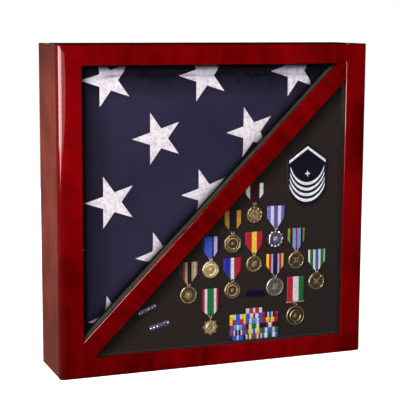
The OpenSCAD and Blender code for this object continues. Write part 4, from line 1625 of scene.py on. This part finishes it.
def slotted_screw(bm, low, high, axis, towards):
    """A domed screw with a slot, filling the box of the plain one it stands for."""
    side = [number for number in range(3) if number != axis]
    middle = (low + high) / 2
    head = min(high[number] - low[number] for number in side) / 2
    run = Vector([towards if number == axis else 0 for number in range(3)])
    top = high[axis] if towards > 0 else low[axis]
    end = low[axis] if towards > 0 else high[axis]
    middle[axis] = top
    depth = abs(top - end)
    rise = head * 0.42
    shank = head * 0.52
    part = bmesh.new()
    spun(part, [
        (0, 0), (head * 0.45, -rise * 0.12), (head * 0.8, -rise * 0.45), (head, -rise),
        (head * 0.97, -rise * 1.15), (shank, -rise * 1.5), (shank, -depth * 0.8),
        (shank * 0.3, -depth), (0, -depth),
    ], middle, run, 20)
    across = Vector([1 if number == side[0] else 0 for number in range(3)])
    for reach in (-0.17, 0.17):
        cut(part, middle + across * head * reach, across)
    part.normal_update()
    groove = [
        face for face in part.faces
        if abs((face.calc_center_median() - middle).dot(across)) < head * 0.16
        and (face.calc_center_median() - middle).dot(run) > -rise * 0.9
    ]
    floor = extruded(part, groove)
    bmesh.ops.delete(part, geom=groove, context="FACES_KEEP_BOUNDARY")
    for vertex in floor:
        vertex.co[axis] = top - towards * rise * 1.05
    tidy(part, 0.005 * MM)
    join_in(bm, part)


def rear_screws(node, body="case"):
    """Slotted brass screws whose heads face the rear."""
    bm = bmesh.new()
    for low, high in clusters(node):
        slotted_screw(bm, low, high, 1, 1)
    add_piece(node + "_slotted", bm, brass(), node, body)


def slanting_screw(bm, low, high):
    """Screw driven at a slant through the diagonal retainer."""
    part = bmesh.new()
    middle = (low + high) / 2
    half = Vector(((high.x - low.x) / 2, WOOD_SCREW_HEAD, WOOD_SCREW_HEAD))
    slotted_screw(part, middle - half, middle + half, 0, 1)
    turn = Matrix.Rotation(radians(-135), 3, "Y")
    bmesh.ops.rotate(part, verts=part.verts, cent=middle, matrix=turn)
    join_in(bm, part)


class FLAGCASE_OT_rear_door(bpy.types.Operator):
    """Finish the rear door, its pull tab, catches and blocks"""

    bl_idname = "flagcase.rear_door"
    bl_label = "Rear door"

    def execute(self, context):
        easing = context.scene.case_wood.easing
        panel = pressed_board("door_fibreboard", (0.13, 0.065, 0.028), (0.26, 0.145, 0.075), 0.45)
        eased_piece("back_door", panel, easing, 2, 100 * MM, "rear_door")
        eased_piece("pull_tab", leather(), 0.35 * MM, 2, 0.5 * MM, "rear_door")
        eased_piece("catch_blocks", bare_wood(0), easing)
        eased_piece("catch_magnets", steel(), 0.3 * MM, 2, 2 * MM)
        eased_piece("catch_strikes", steel(), 0.2 * MM, 2, 2 * MM, "rear_door")
        return {"FINISHED"}


class FLAGCASE_OT_hardware(bpy.types.Operator):
    """Finish the hinges, hangers, screws and wall buttons"""

    bl_idname = "flagcase.hardware"
    bl_label = "Hinges, hangers and screws"

    def execute(self, context):
        for node, body, width, shortest in (
            ("hinge_case_leaves", "case", 0.15 * MM, 3 * MM),
            ("hinge_door_leaves", "rear_door", 0.15 * MM, 3 * MM),
            ("hinge_pins", "case", 0.25 * MM, 0.2 * MM),
        ):
            eased_piece(node, brass(), width, shortest=shortest, body=body)
        eased_piece("hanger_straps", steel(), 0.2 * MM, shortest=2 * MM)
        for side in ("left", "right"):
            paint("hanger_ring_" + side, steel())
        rear_screws("hinge_case_screws")
        for node in ("hinge_door_screws", "tab_screws"):
            rear_screws(node, "rear_door")
        bm = bmesh.new()
        for low, high in clusters("wood_screws"):
            size = high - low
            if size.y > SCREW_RUN:
                slotted_screw(bm, low, high, 1, 1)
            elif size.x > SCREW_RUN and size.z > SCREW_RUN:
                slanting_screw(bm, low, high)
            elif size.x > SCREW_RUN:
                slotted_screw(bm, low, high, 0, -1)
            else:
                slotted_screw(bm, low, high, 2, 1)
        add_piece("wood_screws_slotted", bm, brass(), "wood_screws")
        buttons = eased_copy("wall_bumpers")
        far = REAR + 3 * MM
        rims = sharp_edges(buttons, 0.1 * MM, lambda edge: min(end.co.y for end in edge.verts) > far)
        round_edges(buttons, rims, 1.4 * MM, 4)
        add_piece("wall_buttons", buttons, rubber(), "wall_bumpers")
        return {"FINISHED"}


# ---------------------------------------------------------------------- stage


class Surroundings(Finish):
    """The world's shader under construction."""

    def __init__(self):
        world = bpy.data.worlds.new("surroundings")
        bpy.context.scene.world = world
        world.use_nodes = True
        self.tree = world.node_tree
        self.tree.nodes.clear()

    def output(self, shader):
        """Ends the world in a shader."""
        self.node("ShaderNodeOutputWorld", values={"Surface": shader})


def soft_light(
    name, place, target, size, power, shape="RECTANGLE", tint=(1, 1, 1), diffuse=True, glossy=True
):
    """A soft light that faces a point; it may be left out of reflections, or be only in them."""
    data = bpy.data.lights.new(name, "AREA")
    data.shape = shape
    data.size, data.size_y = size
    data.energy = power
    data.color = tint
    light = bpy.data.objects.new(name, data)
    light.location = place
    light.rotation_euler = (Vector(target) - Vector(place)).to_track_quat("-Z", "Y").to_euler()
    light.visible_diffuse = diffuse
    light.visible_glossy = glossy
    bpy.context.scene.collection.objects.link(light)


def surround_with_light():
    """White behind the object; in reflections, dim towards the left and dark elsewhere."""
    world = Surroundings()
    direction = world.node("ShaderNodeTexCoord", output="Generated")
    parts = world.node("ShaderNodeSeparateXYZ", values={0: direction}, output=0)
    strength = parts.between(0.1, -0.3) * 0.07 + 0.004
    dim = world.node("ShaderNodeBackground", values={"Color": (1, 1, 1), "Strength": strength})
    white = world.node("ShaderNodeBackground", values={"Color": (1, 1, 1), "Strength": 1.0})
    seen = world.node("ShaderNodeLightPath", output="Is Camera Ray")
    world.output(world.node("ShaderNodeMixShader", values={0: seen, 1: dim, 2: white}))


class FLAGCASE_OT_stage(bpy.types.Operator):
    """Set up the camera, the soft lights and the pale floor"""

    bl_idname = "flagcase.stage"
    bl_label = "Camera, lights and floor"

    def execute(self, context):
        scene = context.scene
        stage = scene.case_stage
        data = bpy.data.cameras.new("camera")
        data.lens = stage.camera_lens
        data.sensor_width = 36
        camera = bpy.data.objects.new("camera", data)
        yaw = Matrix.Rotation(-stage.camera_yaw, 4, "Z")
        pitch = Matrix.Rotation(pi / 2 + stage.camera_pitch, 4, "X")
        roll = Matrix.Rotation(stage.camera_roll, 4, "Z")
        camera.matrix_world = Matrix.Translation(Vector(stage.camera_place)) @ (yaw @ pitch) @ roll
        scene.collection.objects.link(camera)
        scene.camera = camera
        middle = (0, 0, TOP / 2)
        face = (0, FRONT, TOP / 2)
        soft_light("key_light", (-1.7, -1.7, 1.6), face, (1.1, 1.0), stage.key_power)
        soft_light("fill_light", (-0.3, -2.3, 0.8), face, (1.8, 1.6), stage.fill_power, glossy=False)
        soft_light("side_light", (-2.2, 0.1, 0.7), middle, (1.0, 1.4), stage.side_power, glossy=False)
        soft_light("right_light", (2.2, 0.2, 1.2), middle, (1.2, 1.2), stage.side_power * 0.7, glossy=False)
        soft_light("rear_light", (-0.9, 2.2, 1.7), middle, (1.6, 1.0), stage.rear_power)
        power = stage.gleam_power
        low = (0, FRONT, 0.36)
        rosy = (1.0, 0.5, 0.53)
        soft_light("gleam", (-0.64, -2.16, 0.36), low, (1.56, 0.42), power, "ELLIPSE", rosy, diffuse=False)
        soft_light(
            "left_gleam", (-1.25, -1.99, 0.4), low, (1.4, 0.8), power * 7, "ELLIPSE", (1, 0.8, 0.8),
            diffuse=False,
        )
        soft_light("edge_gleam", (-1.99, -1.41, 0.45), low, (1.96, 0.6), power * 11, diffuse=False)
        surround_with_light()
        bm = bmesh.new()
        bmesh.ops.create_grid(bm, x_segments=1, y_segments=1, size=2.2)
        mesh = bpy.data.meshes.new("floor")
        bm.to_mesh(mesh)
        bm.free()
        made = Finish("floor_paper")
        drift = made.noise(made.place(), 3, 0.5, 1.5)
        pale = chosen("case_stage", "floor")
        mesh.materials.append(made.surface(
            made.mix(drift, pale, scaled(pale, 0.98)), 0.9,
            specular_ior_level=0.0, emission_color=(1, 1, 1), emission_strength=0.72,
        ))
        floor = bpy.data.objects.new("floor", mesh)
        floor.visible_glossy = False
        floor.visible_diffuse = False
        scene.collection.objects.link(floor)
        scene.view_settings.view_transform = "Standard"
        return {"FINISHED"}


# ---------------------------------------------------------------------- panel


class FLAGCASE_PT_builder(bpy.types.Panel):
    """Settings and build steps of the display case"""

    bl_idname = "FLAGCASE_PT_builder"
    bl_label = "Flag display case"
    bl_space_type = "VIEW_3D"
    bl_region_type = "UI"
    bl_category = "Flag case"

    def draw(self, context):
        for name in SETTINGS:
            box = self.layout.box()
            group = getattr(context.scene, name)
            for key in group.__annotations__:
                box.prop(group, key)
        for operator in OPERATORS:
            self.layout.operator(operator.bl_idname)


SETTINGS = {
    "case_wood": WoodSettings, "case_flag": FlagSettings, "case_medals": MedalSettings,
    "case_hardware": HardwareSettings, "case_stage": StageSettings,
}
OPERATORS = (
    FLAGCASE_OT_stage, FLAGCASE_OT_face_frame, FLAGCASE_OT_case_boards, FLAGCASE_OT_glazing,
    FLAGCASE_OT_flag, FLAGCASE_OT_medal_board, FLAGCASE_OT_ribbons, FLAGCASE_OT_pendants,
    FLAGCASE_OT_ribbon_rack, FLAGCASE_OT_patch, FLAGCASE_OT_badges, FLAGCASE_OT_rear_door,
    FLAGCASE_OT_hardware,
)
CLASSES = (*SETTINGS.values(), *OPERATORS, FLAGCASE_PT_builder)


def register():
    """Registers the classes and hangs the settings on the scene."""
    for kind in CLASSES:
        bpy.utils.register_class(kind)
    for name, kind in SETTINGS.items():
        setattr(bpy.types.Scene, name, PointerProperty(type=kind))


def unregister():
    """Takes the settings and classes away again."""
    for name in SETTINGS:
        delattr(bpy.types.Scene, name)
    for kind in reversed(CLASSES):
        bpy.utils.unregister_class(kind)


def main():
    """Builds everything in order."""
    register()
    for operator in OPERATORS:
        group, name = operator.bl_idname.split(".")
        getattr(getattr(bpy.ops, group), name)()


if __name__ == "__main__":
    main()
